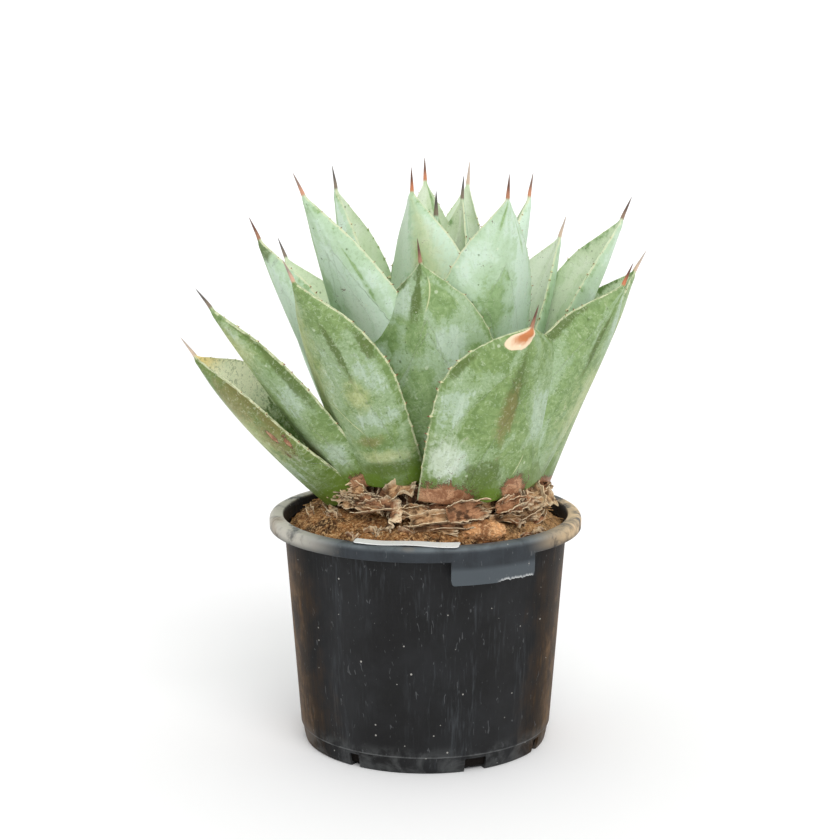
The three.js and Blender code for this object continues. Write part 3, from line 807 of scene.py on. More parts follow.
# One row for each leaf: the blade's widest, where it leaves the stem, out from the axis and up from the
# floor, its spine's colour (0 grey, 1 orange, 2 pale), how much wax it carries and its age (0 young to
# 1 old), then what isn't usual in it.
LEAF_ROWS = [
    (112, 88, 241, 2.0, 0.15, 1.0, dict(bow=7, cup=0.5, blunt=2.4, roll=-21, foot=0.9)),
    (116, 84, 250, 0.3, 0.4, 0.5, dict(bow=5, blunt=2.2)),
    (116, 84, 250, 0.6, 0.4, 0.5, dict(bow=5, blunt=2.2)),
    (116, 82, 254, 0.2, 0.4, 0.4, dict(bow=5, blunt=2.2)),
    (122, 96, 252, 1.8, 0.35, 0.6, dict(bow=-5, cup=0.4, roll=18, foot=0.9)),
    (150, 84, 256, 0.9, 0.25, 0.6, dict(cup=0.38, roll=-20, foot=0.9)),
    (92, 80, 258, 0.1, 0.4, 0.75, dict(bow=0, cup=0.34, blunt=1.5, foot=0.95)),
    (158, 88, 256, 0.5, 0.35, 0.72, dict(bow=2, cup=0.24, blunt=3.0, sway=-5, foot=0.98, draw=0.0)),
    (116, 74, 266, 1.6, 0.32, 0.72, dict(bow=0, cup=0.32, blunt=1.9, sway=6, foot=0.9)),
    (118, 72, 266, 0.1, 0.6, 0.15, dict(cup=0.38)),
    (114, 72, 266, 0.4, 0.5, 0.3, {}),
    (114, 70, 268, 0.8, 0.5, 0.3, {}),
    (139, 64, 276, 0.45, 0.5, 0.5, dict(bow=2, cup=0.3, sway=6, foot=0.85)),
    (116, 62, 278, 0.3, 0.7, 0.15, dict(cup=0.42, roll=14)),
    (112, 60, 280, 0.5, 0.7, 0.12, dict(bow=2, cup=0.35)),
    (114, 54, 282, 0.2, 0.65, 0.15, {}),
    (114, 52, 284, 0.7, 0.65, 0.15, {}),
    (120, 50, 284, 1.9, 0.75, 0.1, dict(cup=0.38)),
    (122, 42, 288, 0.6, 0.8, 0.12, dict(bow=2, cup=0.32, sway=8, draw=0.3)),
    (126, 42, 290, 0.1, 0.75, 0.05, dict(bow=2, cup=0.46, blunt=1.7, draw=0.3)),
    (116, 34, 290, 1.4, 0.8, 0.1, dict(bow=-5, cup=0.32, blunt=1.5, draw=0.2)),
    (112, 36, 292, 1.3, 0.9, 0.0, dict(cup=0.4, blunt=1.7, draw=0.3)),
    (108, 36, 292, 0.4, 0.8, 0.1, dict(blunt=1.8)),
    (108, 36, 292, 0.8, 0.8, 0.1, dict(blunt=1.8)),
    (108, 34, 294, 0.2, 0.8, 0.1, dict(blunt=1.8)),
    (96, 20, 302, 2.0, 1.0, 0.0, dict(bow=2, cup=0.35, blunt=1.6, draw=0.2)),
    (150, 16, 304, 0.9, 0.85, 0.05, dict(bow=0, cup=0.34, blunt=1.8, foot=0.8, draw=0.3)),
    (96, 16, 304, 1.2, 0.9, 0.0, dict(bow=2, cup=0.35, blunt=1.6, draw=0.2)),
    (92, 12, 306, 0.0, 0.7, 0.1, dict(bow=0, cup=0.35, blunt=1.5, draw=0.2)),
]
LEAVES = {}
for number, (*driving, own) in enumerate(LEAF_ROWS, 1):
    shape = dict(zip(("width", "root", "seat", "horn", "bloom", "age"), driving))
    LEAVES[f"leaf_{number:02d}"] = {**USUAL_LEAF, **shape, **own}

# Marks on single leaves, by kind: middle across (-1 to 1) and along (0 to 1), spread across and along,
# then where they aren't 0 the slant and the face (0 outer, 1 inner).
# rub: wax worn thin.  deep: bare dark green.  pale: wax left thick, and on some leaves painted light.  gold:
# gone yellow.
# lime: fresh green.  frost: bloom gone white, and on several leaves painted light on shaded spots.  rust:
# browned.
# scab: dead, torn skin.  dry: a dried patch with a cream border.
MARKS = {
    # On leaf_01 the inner face's gold and pale marks span the blade: its yellow tip, and painted light
    # lifting the shade of the leaf above.
    "leaf_01": {
        "gold": [(0.0, 0.92, 2.5, 0.16, 0, 1), (0.4, 0.5, 0.4, 0.2)],
        "pale": [(0.0, 0.68, 2.5, 0.2, 0, 1), (0.4, 0.27, 0.4, 0.08)],
        "rub": [(0.6, 0.42, 1.2, 0.1, 0, 1), (0.6, 0.62, 0.7, 0.12)],
        "rust": [(0.7, 0.27, 0.5, 0.08, 0, 1), (0.8, 0.66, 0.5, 0.14), (0.95, 0.5, 0.12, 0.12),
            (0.8, 0.42, 0.2, 0.14)],
        "deep": [(0.97, 0.6, 0.07, 0.2)],
        "scab": [(0.92, 0.38, 0.02, 0.05, 0.8), (0.8, 0.43, 0.022, 0.1, 0.5)],
        "lime": [(0.4, 0.06, 0.6, 0.06)],
    },
    "leaf_05": {
        "gold": [(0.0, 0.5, 0.9, 0.5)],
        "rub": [(-0.4, 0.6, 0.12, 0.4), (-0.7, 0.3, 0.12, 0.3)],
        "scab": [(0.0, 0.0, 1.2, 0.05)],
    },
    "leaf_06": {
        "deep": [(-0.15, 0.68, 0.055, 0.18), (-0.6, 0.12, 0.2, 0.08), (-0.95, 0.68, 0.1, 0.15)],
        "pale": [(0.35, 0.75, 0.4, 0.16)],
        "rub": [(-0.6, 0.75, 0.35, 0.12), (-0.35, 0.45, 0.25, 0.2), (-0.05, 0.42, 0.06, 0.25),
            (-0.5, 0.2, 0.08, 0.2)],
        "gold": [(0.3, 0.4, 0.4, 0.2)],
        "scab": [(-0.5, 0.0, 0.6, 0.05)],
    },
    "leaf_07": {
        "rub": [(-0.1, 0.8, 0.5, 0.1), (0.9, 0.3, 0.25, 0.06), (0.0, 0.45, 0.22, 0.12)],
        "gold": [(0.1, 0.74, 0.8, 0.12)],
        "deep": [(0.92, 0.55, 0.14, 0.16), (0.98, 0.66, 0.09, 0.22)],
        "pale": [(0.7, 0.45, 0.4, 0.1), (0.6, 0.77, 0.3, 0.06), (0.7, 0.2, 0.3, 0.06)],
        "rust": [(0.1, 0.22, 0.3, 0.07)],
        "lime": [(0.5, 0.06, 0.8, 0.06)],
        "scab": [(0.75, 0.04, 0.3, 0.04)],
    },
    "leaf_08": {
        "dry": [(-0.42, 0.88, 0.55, 0.105)],
        "rub": [(-0.07, 0.58, 0.2, 0.3, 0.25), (-0.42, 0.41, 0.22, 0.08), (0.2, 0.25, 0.4, 0.08),
            (-0.6, 0.74, 0.35, 0.07), (0.6, 0.08, 0.4, 0.07), (0.85, 0.3, 0.12, 0.3)],
        "deep": [(-0.05, 0.6, 0.13, 0.22, 0.25), (-0.28, 0.16, 0.3, 0.09), (-0.94, 0.67, 0.08, 0.09)],
        "rust": [(-0.1, 0.46, 0.12, 0.16, 0.2)],
        "lime": [(-0.15, 0.04, 0.22, 0.06)],
        "scab": [(-0.72, 0.03, 0.36, 0.085), (0.2, 0.05, 0.18, 0.08)],
        "pale": [(-0.8, 0.5, 0.2, 0.12), (0.5, 0.45, 0.3, 0.14), (0.35, 0.29, 0.2, 0.05),
            (-0.75, 0.22, 0.25, 0.1)],
        "frost_and_painted_light": [(-0.8, 0.24, 0.2, 0.12)],
    },
    "leaf_09": {
        "rub": [(0.45, 0.78, 0.5, 0.1), (0.36, 0.44, 0.25, 0.08), (0.45, 0.225, 0.4, 0.035)],
        "deep": [(0.3, 0.68, 0.05, 0.16, -0.1), (0.42, 0.62, 0.04, 0.14, -0.1), (0.18, 0.62, 0.035, 0.17),
            (0.92, 0.62, 0.1, 0.08), (0.5, 0.105, 0.6, 0.04)],
        "gold": [(0.38, 0.43, 0.24, 0.07), (0.5, 0.16, 0.5, 0.03), (-0.6, 0.5, 0.5, 0.4)],
        "pale": [(0.68, 0.5, 0.25, 0.08), (0.6, 0.33, 0.45, 0.04)],
        "rust": [(0.35, 0.23, 0.25, 0.03)],
        "lime": [(0.1, 0.04, 0.5, 0.05), (0.95, 0.05, 0.25, 0.06)],
    },
    "leaf_13": {
        "deep": [(-0.17, 0.78, 0.14, 0.14), (-0.2, 0.88, 0.6, 0.05), (-0.95, 0.8, 0.2, 0.04)],
        "rub": [(-0.13, 0.64, 0.15, 0.14), (-0.8, 0.6, 0.3, 0.05), (0.42, 0.75, 0.35, 0.07),
            (-0.1, 0.3, 0.4, 0.2)],
        "pale": [(-0.65, 0.73, 0.28, 0.06), (-0.6, 0.5, 0.4, 0.05), (0.4, 0.58, 0.4, 0.08)],
    },
    # The pale marks on leaf_15 are painted light, lifting the shade of the leaves in front of it.
    "leaf_15": {
        "deep": [(0.3, 0.9, 1.0, 0.08)],
        "pale": [(0.2, 0.55, 0.8, 0.25), (0.4, 0.3, 0.8, 0.2)],
    },
    "leaf_19": {
        "rub": [(-0.25, 0.52, 0.35, 0.14)],
        "pale": [(0.55, 0.5, 0.3, 0.4)],
    },
    # On leaf_18 both marks of the inner face are painted light, lifting the shade inside the rosette.
    "leaf_18": {
        "frost_and_painted_light": [(0.3, 0.75, 0.7, 0.25, 0, 1)],
        "pale": [(0.0, 0.6, 1.5, 0.4, 0, 1)],
    },
    "leaf_21": {
        "pale": [(0.3, 0.52, 0.5, 0.14), (0.1, 0.64, 0.3, 0.12)],
        "frost_and_painted_light": [(0.25, 0.48, 0.35, 0.12)],
    },
    # On leaf_22 both marks are painted light, lifting its shade.
    "leaf_22": {
        "pale": [(0.0, 0.5, 2.0, 0.5)],
        "frost_and_painted_light": [(0.4, 0.6, 0.6, 0.4)],
    },
    # On leaf_27 the pale and white marks on the left half are painted light on a side that lies in shade.
    "leaf_27": {
        "gold": [(0.45, 0.6, 0.4, 0.4)],
        "pale": [(-0.5, 0.6, 0.5, 0.5)],
        "frost_and_painted_light": [(-0.4, 0.75, 0.5, 0.6)],
    },
}

MARK_KINDS = ("rub", "deep", "pale", "gold", "lime", "frost_and_painted_light", "rust", "scab", "dry")
LOOSE_MARKS = 6

# Cream scratches: leaf, then the two ends across and along, and how far the line bends.
SCRATCHES = {
    "leaf_01": (0.1, 0.58, 0.3, 0.36, 0), "leaf_05": (0.1, 0.7, 0.2, 0.3, 0.05),
    "leaf_07": (-0.5, 0.6, 0.1, 0.2, 0.05), "leaf_08": (0.12, 0.14, 0.26, 0.24, 0.02),
    "leaf_09": (-0.4, 0.42, 0.3, 0.26, 0.05), "leaf_10": (-0.2, 0.8, -0.3, 0.4, 0.05),
    "leaf_13": (0.5, 0.85, 0.03, 0.7, -0.05),
}


def leaf_frame(node, shape, along):
    """Midrib points of a leaf at shares along its length, with the directions across it and inwards."""
    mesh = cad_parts[node].data
    tip = Vector(max((v.co for v in mesh.vertices), key=lambda co: co.z)) / MM
    turn = math.atan2(tip.x - CROWN.x, CROWN.y - tip.y)
    outward = Vector((math.sin(turn), -math.cos(turn), 0))
    side = Vector((math.cos(turn), math.sin(turn), 0))
    root = CROWN + outward * shape["root"] + Vector((0, 0, shape["seat"]))
    run = tip - root
    bulge = side.cross(run).normalized()
    if bulge.z > 0:
        bulge.negate()
    bend = (root + tip) / 2 + bulge * 2 * shape["bow"] + side * 2 * shape["sway"]
    root, bend, tip, side, bulge = (np.array(v) for v in (root, bend, tip, side, bulge))
    s = along[:, None]
    middle = root * (1 - s) ** 2 + bend * 2 * s * (1 - s) + tip * s ** 2
    forward = (bend - root) * (1 - s) + (tip - bend) * s
    forward /= np.linalg.norm(forward, axis=1)[:, None]
    across = side - forward * (forward @ side)[:, None]
    across /= np.linalg.norm(across, axis=1)[:, None]
    inward = np.cross(across, forward)
    inward *= -np.sign(inward @ bulge)[:, None]
    roll = np.radians(shape["roll"]) * s
    turned = across * np.cos(roll) + inward * np.sin(roll)
    inward = inward * np.cos(roll) - across * np.sin(roll)
    return middle, turned, inward, run.length


def blade_half_width(along, blade_end, shape):
    """Half the width of a leaf in mm at shares along its length, down to its spine."""
    t = np.clip(along / blade_end, 0, 1)
    opened = shape["foot"] + (1 - shape["foot"]) * np.sin(np.pi / 2 * np.clip(t / WIDEST, 0, 1))
    past = np.clip((t - WIDEST) / (1 - WIDEST), 0, 1)
    drawn = 1 - shape["draw"] * np.clip((t - 0.8) / 0.2, 0, 1) ** 1.5
    blade = shape["width"] / 2 * opened * (1 - past ** shape["blunt"]) * drawn
    spine = SPINE_RADIUS * np.clip((1 - along) / (1 - blade_end), 0, 1) ** 0.8
    return np.maximum(blade, spine)


def margin_teeth(rng, length, blade_end):
    """Shares along the leaf where the teeth of one margin stand, and their sizes in mm."""
    teeth = []
    share = 0.16 + 0.04 * rng.random()
    while share < blade_end - 0.05:
        size = (0.9 + 1.5 * math.sin(math.pi * share) ** 2) * (0.4 + 1.0 * rng.random())
        teeth.append((share, size))
        share += (5.5 + 9 * rng.random()) / length
    return teeth


def mark_fields(node, face, across, along, half, rng):
    """The share of each kind of mark at each point of a leaf, and the distance to its scratch in mm."""
    fields = {kind: np.zeros(len(along)) for kind in MARK_KINDS}
    own = [(kind, *mark) for kind, marks in MARKS.get(node, {}).items() for mark in marks]
    for _ in range(LOOSE_MARKS):
        kind, mark_face = rng.choice(("rub", "rub", "pale")), rng.choice((0, 1))
        middle = rng.uniform(-0.8, 0.8), rng.uniform(0.15, 0.9)
        spread = rng.uniform(0.05, 0.22), rng.uniform(0.08, 0.25)
        own.append((kind, *middle, *spread, rng.uniform(-0.3, 0.3), mark_face))
    for kind, u, s, du, ds, *rest in own:
        slant, mark_face = (*rest, 0, 0)[:2]
        near = np.exp(-((across - u - slant * (along - s)) / du) ** 2 - ((along - s) / ds) ** 2)
        fields[kind] = np.maximum(fields[kind], near * (face == mark_face))
    fields["scratch"], fields["scored"] = np.full(len(along), 9.0), np.zeros(len(along))
    if node in SCRATCHES:
        u, s, last_u, last_s, bend = SCRATCHES[node]
        t = (along - s) / (last_s - s)
        off = (across - u - (last_u - u) * t - bend * 4 * t * (1 - t)) * half
        fields["scratch"] = off
        fields["scored"] = np.clip((0.5 - np.abs(t - 0.5)) * 6, 0, 1) * (face == 0)
    return fields


def bud_print(across, along, half, rng):
    """Distance in mm to the outline that a neighbour pressed into the blade while both were in the bud."""
    u, foot = rng.uniform(-0.35, 0.35), rng.uniform(-0.1, 0.1)
    top, wide = rng.uniform(0.55, 0.8), rng.uniform(0.55, 0.8)
    t = np.clip((along - foot) / (top - foot), 0, 1.4)
    inside = wide * (1 - t ** 1.7) - np.abs(across - u)
    return inside * half


def leaf_piece(node, shape, number):
    """One leaf: a grid wrapped round its section, from the clasping foot to the tip of its spine."""
    rng = random.Random(number * 37 + 5)
    columns, rows = 2 * SIDE_COLUMNS + 3, BLADE_ROWS + SPINE_ROWS + 1
    leaf, x, y = new_grid(node.replace("leaf", "blade"), columns - 1, rows - 1)
    column = np.rint((x + 1) / 2 * (columns - 1)).astype(int)
    row = np.rint((y + 1) / 2 * (rows - 1)).astype(int)

    length = leaf_frame(node, shape, np.zeros(1))[3]
    blade_end = 1 - SPINE_LENGTH / length
    stations = np.concatenate([np.linspace(0, blade_end, BLADE_ROWS + 1),
                               np.linspace(blade_end, 1, SPINE_ROWS + 1)[1:]])
    stations[1] = stations[1] / 3
    middle, side, inward, _ = leaf_frame(node, shape, stations)

    turn = column % (columns - 1)
    face = (turn > SIDE_COLUMNS).astype(int)
    step = np.where(face == 0, turn, 2 * SIDE_COLUMNS + 1 - turn) / SIDE_COLUMNS * 2 - 1
    u = 0.45 * step + 0.55 * np.sin(np.pi / 2 * step)
    s = stations[row]

    half = blade_half_width(stations, blade_end, shape)[row]
    teeth = {-1: margin_teeth(rng, length, blade_end), 1: margin_teeth(rng, length, blade_end)}
    swell = np.zeros(len(s))
    for way, own in teeth.items():
        for share, size in own:
            near = np.exp(-(((s - share) * length) / 2.8) ** 2)
            swell += way * near * size * 0.5 * np.clip((u * way - 0.82) / 0.18, 0, 1)
    sharp = np.clip((s - blade_end + 0.05) / 0.07, 0, 1)
    sharp = sharp * sharp * (3 - 2 * sharp)
    closing = np.sqrt(np.clip(s / 0.02, 0, 1))
    arch = np.sqrt(np.clip(1 - u * u, 0, 1))
    wave = WAVE * np.sin(s * WAVES + number) * np.abs(u) ** 3 * np.sin(np.pi * np.clip(s / blade_end, 0, 1))
    flute = 0.35 * np.sin(u * 19 + number) * (1 - u * u) * (1 - sharp)
    thick = THICKNESS * np.clip(1 - s, 0, 1) ** 0.8 * closing * (1 - sharp)
    edge = EDGE * np.clip(4 * (1 - s) + 0.1, 0, 1) * closing * (1 - sharp)
    rise = shape["cup"] * (CUP_AT_FOOT + CUP_GROWTH * s) * u * u * half * (1 - sharp) + wave * (1 - sharp)
    round_out = half * arch * sharp
    outer = rise - edge - thick * arch ** 1.15 - round_out + flute
    depth = np.where(face == 0, outer, rise + round_out * 0.9)
    spread = half * u * (1 - 0.1 * u * u * (1 - sharp)) + swell
    points = middle[row] + side[row] * spread[:, None] + inward[row] * depth[:, None]
    place_points(leaf, points * MM)

    fields = mark_fields(node, face, u, s, half, rng)
    fields["print"], fields["print_too"] = bud_print(u, s, half, rng), bud_print(u, s, half, rng)
    fields["face"] = face
    fields["across"] = u * half
    fields["along"] = s * length
    fields["number"] = np.full(len(s), number * 40) + 15 * face
    fields["margin"] = (1 - np.abs(u)) * half
    fields["tone"] = np.full(len(s), shape["horn"])
    fields["horn"] = np.clip((s - blade_end + 0.006) / (1 - blade_end), 0, 1)
    fields["bloom"] = np.full(len(s), shape["bloom"])
    fields["age"] = np.full(len(s), shape["age"])
    for field, values in fields.items():
        set_field(leaf, field, values)
    weld(0.03)

    thorns = []
    for way, own in teeth.items():
        for share, size in own:
            at = np.array([share])
            point, across, inner, _ = leaf_frame(node, shape, at)
            point, across, inner = Vector(point[0]), Vector(across[0]) * way, Vector(inner[0])
            out = float(blade_half_width(at, blade_end, shape)[0])
            lift = shape["cup"] * (CUP_AT_FOOT + CUP_GROWTH * share) * out - EDGE / 2
            lift += WAVE * math.sin(share * WAVES + number)
            foot = point + across * (out * 0.9 + size * 0.2) + inner * lift
            lean = across.cross(inner).normalized() * rng.uniform(-0.5, 0.5) + inner * rng.uniform(0.0, 0.5)
            thorn = THORN.copy()
            thorn.transform(Matrix.LocRotScale(
                foot * MM, (across + lean).to_track_quat("Z", "X"), Vector((1, 1, 1)) * size * MM))
            piece = bpy.data.objects.new("thorn", thorn)
            bpy.context.collection.objects.link(piece)
            thorns.append(piece)
    return join([leaf] + thorns, leaf.name)


def thorn_mesh():
    """One marginal tooth of unit length: a short hooked cone on a broad foot."""
    clear_selection()
    bpy.ops.mesh.primitive_cone_add(vertices=6, radius1=0.7, radius2=0.05, depth=1.7, location=(0, 0, 0.4))
    thorn = named("thorn")
    start_edit()
    bpy.ops.mesh.subdivide(number_cuts=2)
    bpy.ops.object.mode_set(mode="OBJECT")
    settle(thorn, 60)
    points = points_of(thorn)
    height = points[:, 2]
    points[:, 0] += 0.22 * np.clip(height, 0, 2) ** 2
    points[:, :2] *= (1 - 0.25 * np.sin(np.clip(height, 0, 1) * np.pi))[:, None]
    place_points(thorn, points)
    set_field(thorn, "thorn", np.clip(height, 0.02, 1.1) / 1.1)
    mesh = thorn.data
    bpy.data.objects.remove(thorn)
    return mesh


def leaf_material():
    """Waxy skin: bare green flesh under thin and thick bloom, then its marks, its margin and its spine."""
    material, sheet, shader = new_material("leaf_skin", specular_ior_level=0.3)
    field = sheet.field
    place = sheet.object_place()
    spot = sheet.gather(field("across"), field("along"), field("number"))
    cloud = sheet.noise(spot, 0.03, 3.0, 0.5, 0.9)
    mottle = sheet.noise(spot, 0.11, 5.0, 0.6, 1.0)
    grain = sheet.noise(spot, 0.9, 4.0, 0.65)
    drawn = sheet.stretch(spot, (1, 0.09, 1))
    streaks = sheet.group(STREAKS, {"Place": drawn, "Fine": 0.3, "Coarse": 0.09})["Value"]
    age, margin = field("age"), field("margin")

    def ragged(kind, low, high, grip=1.2):
        rough = sheet.times(sheet.less(sheet.plus(mottle, streaks), 1.0), grip)
        return sheet.step(sheet.plus(field(kind), rough), low, high)

    waver = sheet.around(mottle, 6.0)
    pressed, pressed_too = (sheet.plus(field(name), waver) for name in ("print", "print_too"))
    beyond = sheet.step(pressed, -0.7, 0.7, 0.55, 0.0)
    outside = sheet.plus(beyond, sheet.step(pressed_too, -1.2, 1.2, 0.0, 0.45))
    near = sheet.math("MINIMUM", sheet.math("ABSOLUTE", pressed), sheet.math("ABSOLUTE", pressed_too))
    line = sheet.times(sheet.step(near, 0.1, 0.7, 1.0, 0.0), sheet.step(grain, 0.42, 0.6))

    wax = sheet.math("MULTIPLY_ADD", field("bloom"), 0.4, 0.5)
    for part, weight in ((cloud, 1.1), (streaks, 0.8), (mottle, 0.55)):
        wax = sheet.plus(wax, sheet.around(part, weight))
    # Pale marks thicken the wax; on some leaves they are painted light.
    wax = sheet.plus(wax, sheet.times(ragged("pale", 0.1, 0.9), 0.4))
    wax = sheet.less(wax, sheet.times(ragged("rub", 0.05, 0.8), 0.5))
    wax = sheet.less(wax, sheet.times(outside, 0.3))
    islands = sheet.step(sheet.noise(spot, 0.2, 4.0, 0.6, 1.4), 0.5, 0.56)
    wax = sheet.less(wax, sheet.times(islands, sheet.blend(age, 0.04, 0.17)))
    wax = sheet.less(wax, sheet.step(margin, 7.0, 1.0, 0.0, sheet.blend(age, 0.12, 0.34)))
    wax = sheet.less(wax, sheet.step(field("along"), 26.0, 6.0, 0.0, 0.3))

    young = sheet.mix(sheet.step(mottle, 0.36, 0.64), srgb(140, 172, 116), srgb(164, 194, 142))
    old = sheet.mix(sheet.step(mottle, 0.36, 0.64), srgb(92, 116, 52), srgb(118, 140, 74))
    flesh = sheet.mix(age, young, old)
    thin = sheet.mix(age, srgb(190, 216, 184), srgb(122, 144, 90))
    thick = sheet.mix(age, srgb(210, 232, 212), srgb(142, 162, 130))
    thick = sheet.coat(thick, srgb(204, 220, 206), sheet.step(streaks, 0.48, 0.6), 0.3)
    # The inner faces are painted much paler: their own bloom, and painted light lifting the shade inside the
    # rosette.
    thick = sheet.coat(thick, srgb(232, 242, 218), field("face"), 0.85)
    thin = sheet.coat(thin, srgb(216, 230, 196), field("face"), 0.85)
    colour = sheet.mix(sheet.step(wax, 0.16, 0.46), flesh, thin)
    colour = sheet.coat(colour, thick, sheet.step(wax, 0.5, 0.84))
    colour = sheet.coat(colour, srgb(214, 228, 200), line, 0.4)
    veins = sheet.noise(spot, 0.07, 5.0, 0.6, 1.5)
    veins = sheet.step(sheet.off(veins, 0.52), 0.004, 0.012, 1.0, 0.0)
    veins = sheet.times(veins, sheet.step(cloud, 0.46, 0.6))
    colour = sheet.coat(colour, srgb(208, 220, 190), veins, 0.4)

    # frost lays near-white bloom, on several leaves as painted light on shaded spots.
    for kind, low, high, share, tint in (
        ("deep", 0.3, 0.75, 0.85, srgb(84, 104, 46)), ("gold", 0.15, 1.1, 0.5, srgb(206, 208, 150)),
        ("rust", 0.2, 0.9, 0.5, srgb(136, 116, 66)), ("lime", 0.3, 0.75, 0.85, srgb(104, 138, 38)),
        ("frost_and_painted_light", 0.15, 0.9, 0.42, srgb(234, 242, 230)),
    ):
        colour = sheet.coat(colour, tint, ragged(kind, low, high), share)
    # On the inner faces of old leaves the pale and gold marks go near white and cream: a yellow tip, and
    # painted light lifting the shade of the leaf above.
    inner_yellowing_and_painted_light = sheet.times(field("face"), age)
    colour = sheet.coat(colour, srgb(250, 250, 220), ragged("pale", 0.1, 0.9), inner_yellowing_and_painted_light)
    colour = sheet.coat(colour, srgb(246, 220, 150), ragged("gold", 0.3, 0.95, 0.2), inner_yellowing_and_painted_light)
    blotch = sheet.noise(spot, 0.3, 5.0, 0.62, 1.2)
    dark = sheet.times(sheet.step(blotch, 0.55, 0.6), sheet.blend(age, 0.08, 0.42))
    colour = sheet.coat(colour, srgb(98, 118, 64), dark)
    light = sheet.times(sheet.step(blotch, 0.43, 0.38), sheet.blend(age, 0.15, 0.3))
    colour = sheet.coat(colour, srgb(206, 220, 188), light)
    low = sheet.plus(field("along"), sheet.around(mottle, 60.0))
    low = sheet.times(sheet.step(low, 40.0, 16.0), sheet.blend(age, 0.2, 0.75))
    colour = sheet.coat(colour, srgb(92, 116, 34), low)
    frayed = sheet.less(sheet.plus(mottle, grain), 1.0)
    scab = sheet.plus(field("scab"), sheet.times(frayed, 1.1))
    torn = sheet.step(scab, 0.36, 0.42)
    colour = sheet.coat(colour, srgb(76, 56, 36), sheet.step(scab, 0.24, 0.36))
    dead = sheet.mix(sheet.step(mottle, 0.4, 0.6), srgb(198, 152, 116), srgb(146, 100, 70))
    colour = sheet.coat(colour, sheet.mix(sheet.step(grain, 0.52, 0.66), dead, srgb(104, 70, 50)), torn)
    colour = sheet.coat(colour, srgb(238, 214, 182), ragged("dry", 0.40, 0.44, 0.08))
    colour = sheet.coat(colour, srgb(196, 124, 76), ragged("dry", 0.5, 0.8, 0.4))

    pits = sheet.group(SPECKS, {"Place": place, "Scale": 170.0, "Size": 0.2, "Share": 0.1})["Mask"]
    colour = sheet.coat(colour, srgb(92, 112, 64), pits, 0.55)
    dots = sheet.group(SPECKS, {"Place": place, "Scale": 110.0, "Size": 0.17, "Share": 0.14})["Mask"]
    flecks = sheet.step(grain, 0.66, 0.72)
    dots = sheet.math("MAXIMUM", dots, sheet.times(flecks, sheet.step(mottle, 0.52, 0.62)))
    colour = sheet.coat(colour, srgb(222, 232, 206), dots, 0.4)
    scratch = sheet.step(sheet.math("ABSOLUTE", field("scratch")), 0.35, 0.85, 1.0, 0.0)
    scratch = sheet.times(field("scored"), scratch)
    colour = sheet.coat(colour, srgb(212, 218, 168), scratch, 0.8)
    lip = sheet.step(sheet.plus(margin, grain), 0.75, 1.05, 1.0, 0.0)
    lip = sheet.times(lip, sheet.step(mottle, 0.38, 0.58, 0.1, 0.8))
    colour = sheet.coat(colour, srgb(218, 222, 184), lip)
    thorn = field("thorn")
    colour = sheet.coat(colour, srgb(206, 206, 160), sheet.step(thorn, 0.01, 0.05))
    colour = sheet.coat(colour, srgb(128, 66, 48), sheet.step(thorn, 0.3, 0.7))

    horn, tone = field("horn"), field("tone")
    foot = sheet.mix(sheet.step(tone, 0.1, 1.0), srgb(136, 122, 106), srgb(206, 128, 90))
    foot = sheet.mix(sheet.step(tone, 1.0, 2.0), foot, srgb(214, 190, 168))
    tip = sheet.mix(sheet.step(tone, 0.0, 0.6), srgb(92, 88, 84), srgb(108, 74, 62))
    tip = sheet.mix(sheet.step(tone, 1.0, 2.0), tip, srgb(196, 178, 164))
    worn = sheet.plus(horn, sheet.around(grain, 0.3))
    horny = sheet.mix(sheet.step(worn, 0.15, 0.6), foot, tip)
    colour = sheet.coat(colour, horny, sheet.step(horn, 0.0, 0.08))
    sheet.feed(shader["Base Color"], colour)
    rough = sheet.blend(sheet.step(wax, 0.1, 0.6), 0.45, 0.64)
    sheet.feed(shader["Roughness"], sheet.blend(sheet.step(horn, 0.05, 0.2), rough, 0.4))
    relief = sheet.bump(sheet.plus(sheet.times(streaks, 0.6), sheet.times(cloud, 0.8)), 0.002, 0.4)
    raised = sheet.less(sheet.plus(sheet.plus(line, scratch), outside), sheet.plus(pits, torn))
    relief = sheet.bump(raised, 0.0008, 0.6, relief)
    sheet.feed(shader["Normal"], sheet.bump(grain, 0.0002, 0.3, relief))
    return material


THORN = thorn_mesh()
LEAF_SKIN = leaf_material()
for number, (node, shape) in enumerate(LEAVES.items(), 1):
    leaf = settle(leaf_piece(node, shape, number), 50)
    finish_with(leaf, LEAF_SKIN)
    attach(leaf, "root")
    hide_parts(node)


# ---------------------------------------------------------------- heart
# The youngest leaf is still furled: a tight grey-green spear with a dark tip, standing on the stem
# inside the rosette.

HEART_RADIUS = 14.6
HEART_SPINE_RADIUS = 2.2
HEART_LEAN = (2, -2)

low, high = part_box("heart_leaf")
heart, x, y = new_grid("furled_heart", 40, 70)
turn, s = (x + 1) * math.pi, (y + 1) / 2
length = high.z - low.z
spine = 1 - SPINE_LENGTH * MM / length
swell = 0.6 + 0.4 * np.sin(np.pi * np.clip(s / 0.7, 0, 1))
body = HEART_RADIUS * MM * swell * (1 - np.clip(s / spine, 0, 1) ** 2.4) ** 0.8
radius = np.maximum(body, HEART_SPINE_RADIUS * MM * np.clip((1 - s) / (1 - spine), 0, 1) ** 0.8)
radius = radius * (1 + 0.05 * turn / math.pi * (s < spine)) * np.clip(s / 0.02, 0.02, 1)
axis = s[:, None] * np.array((HEART_LEAN[0] * MM, HEART_LEAN[1] * MM, length))
ring = np.stack([radius * np.sin(turn), -radius * np.cos(turn), np.zeros(len(s))], axis=1)
place_points(heart, ring + axis + np.array((CROWN.x * MM, 0, low.z)))
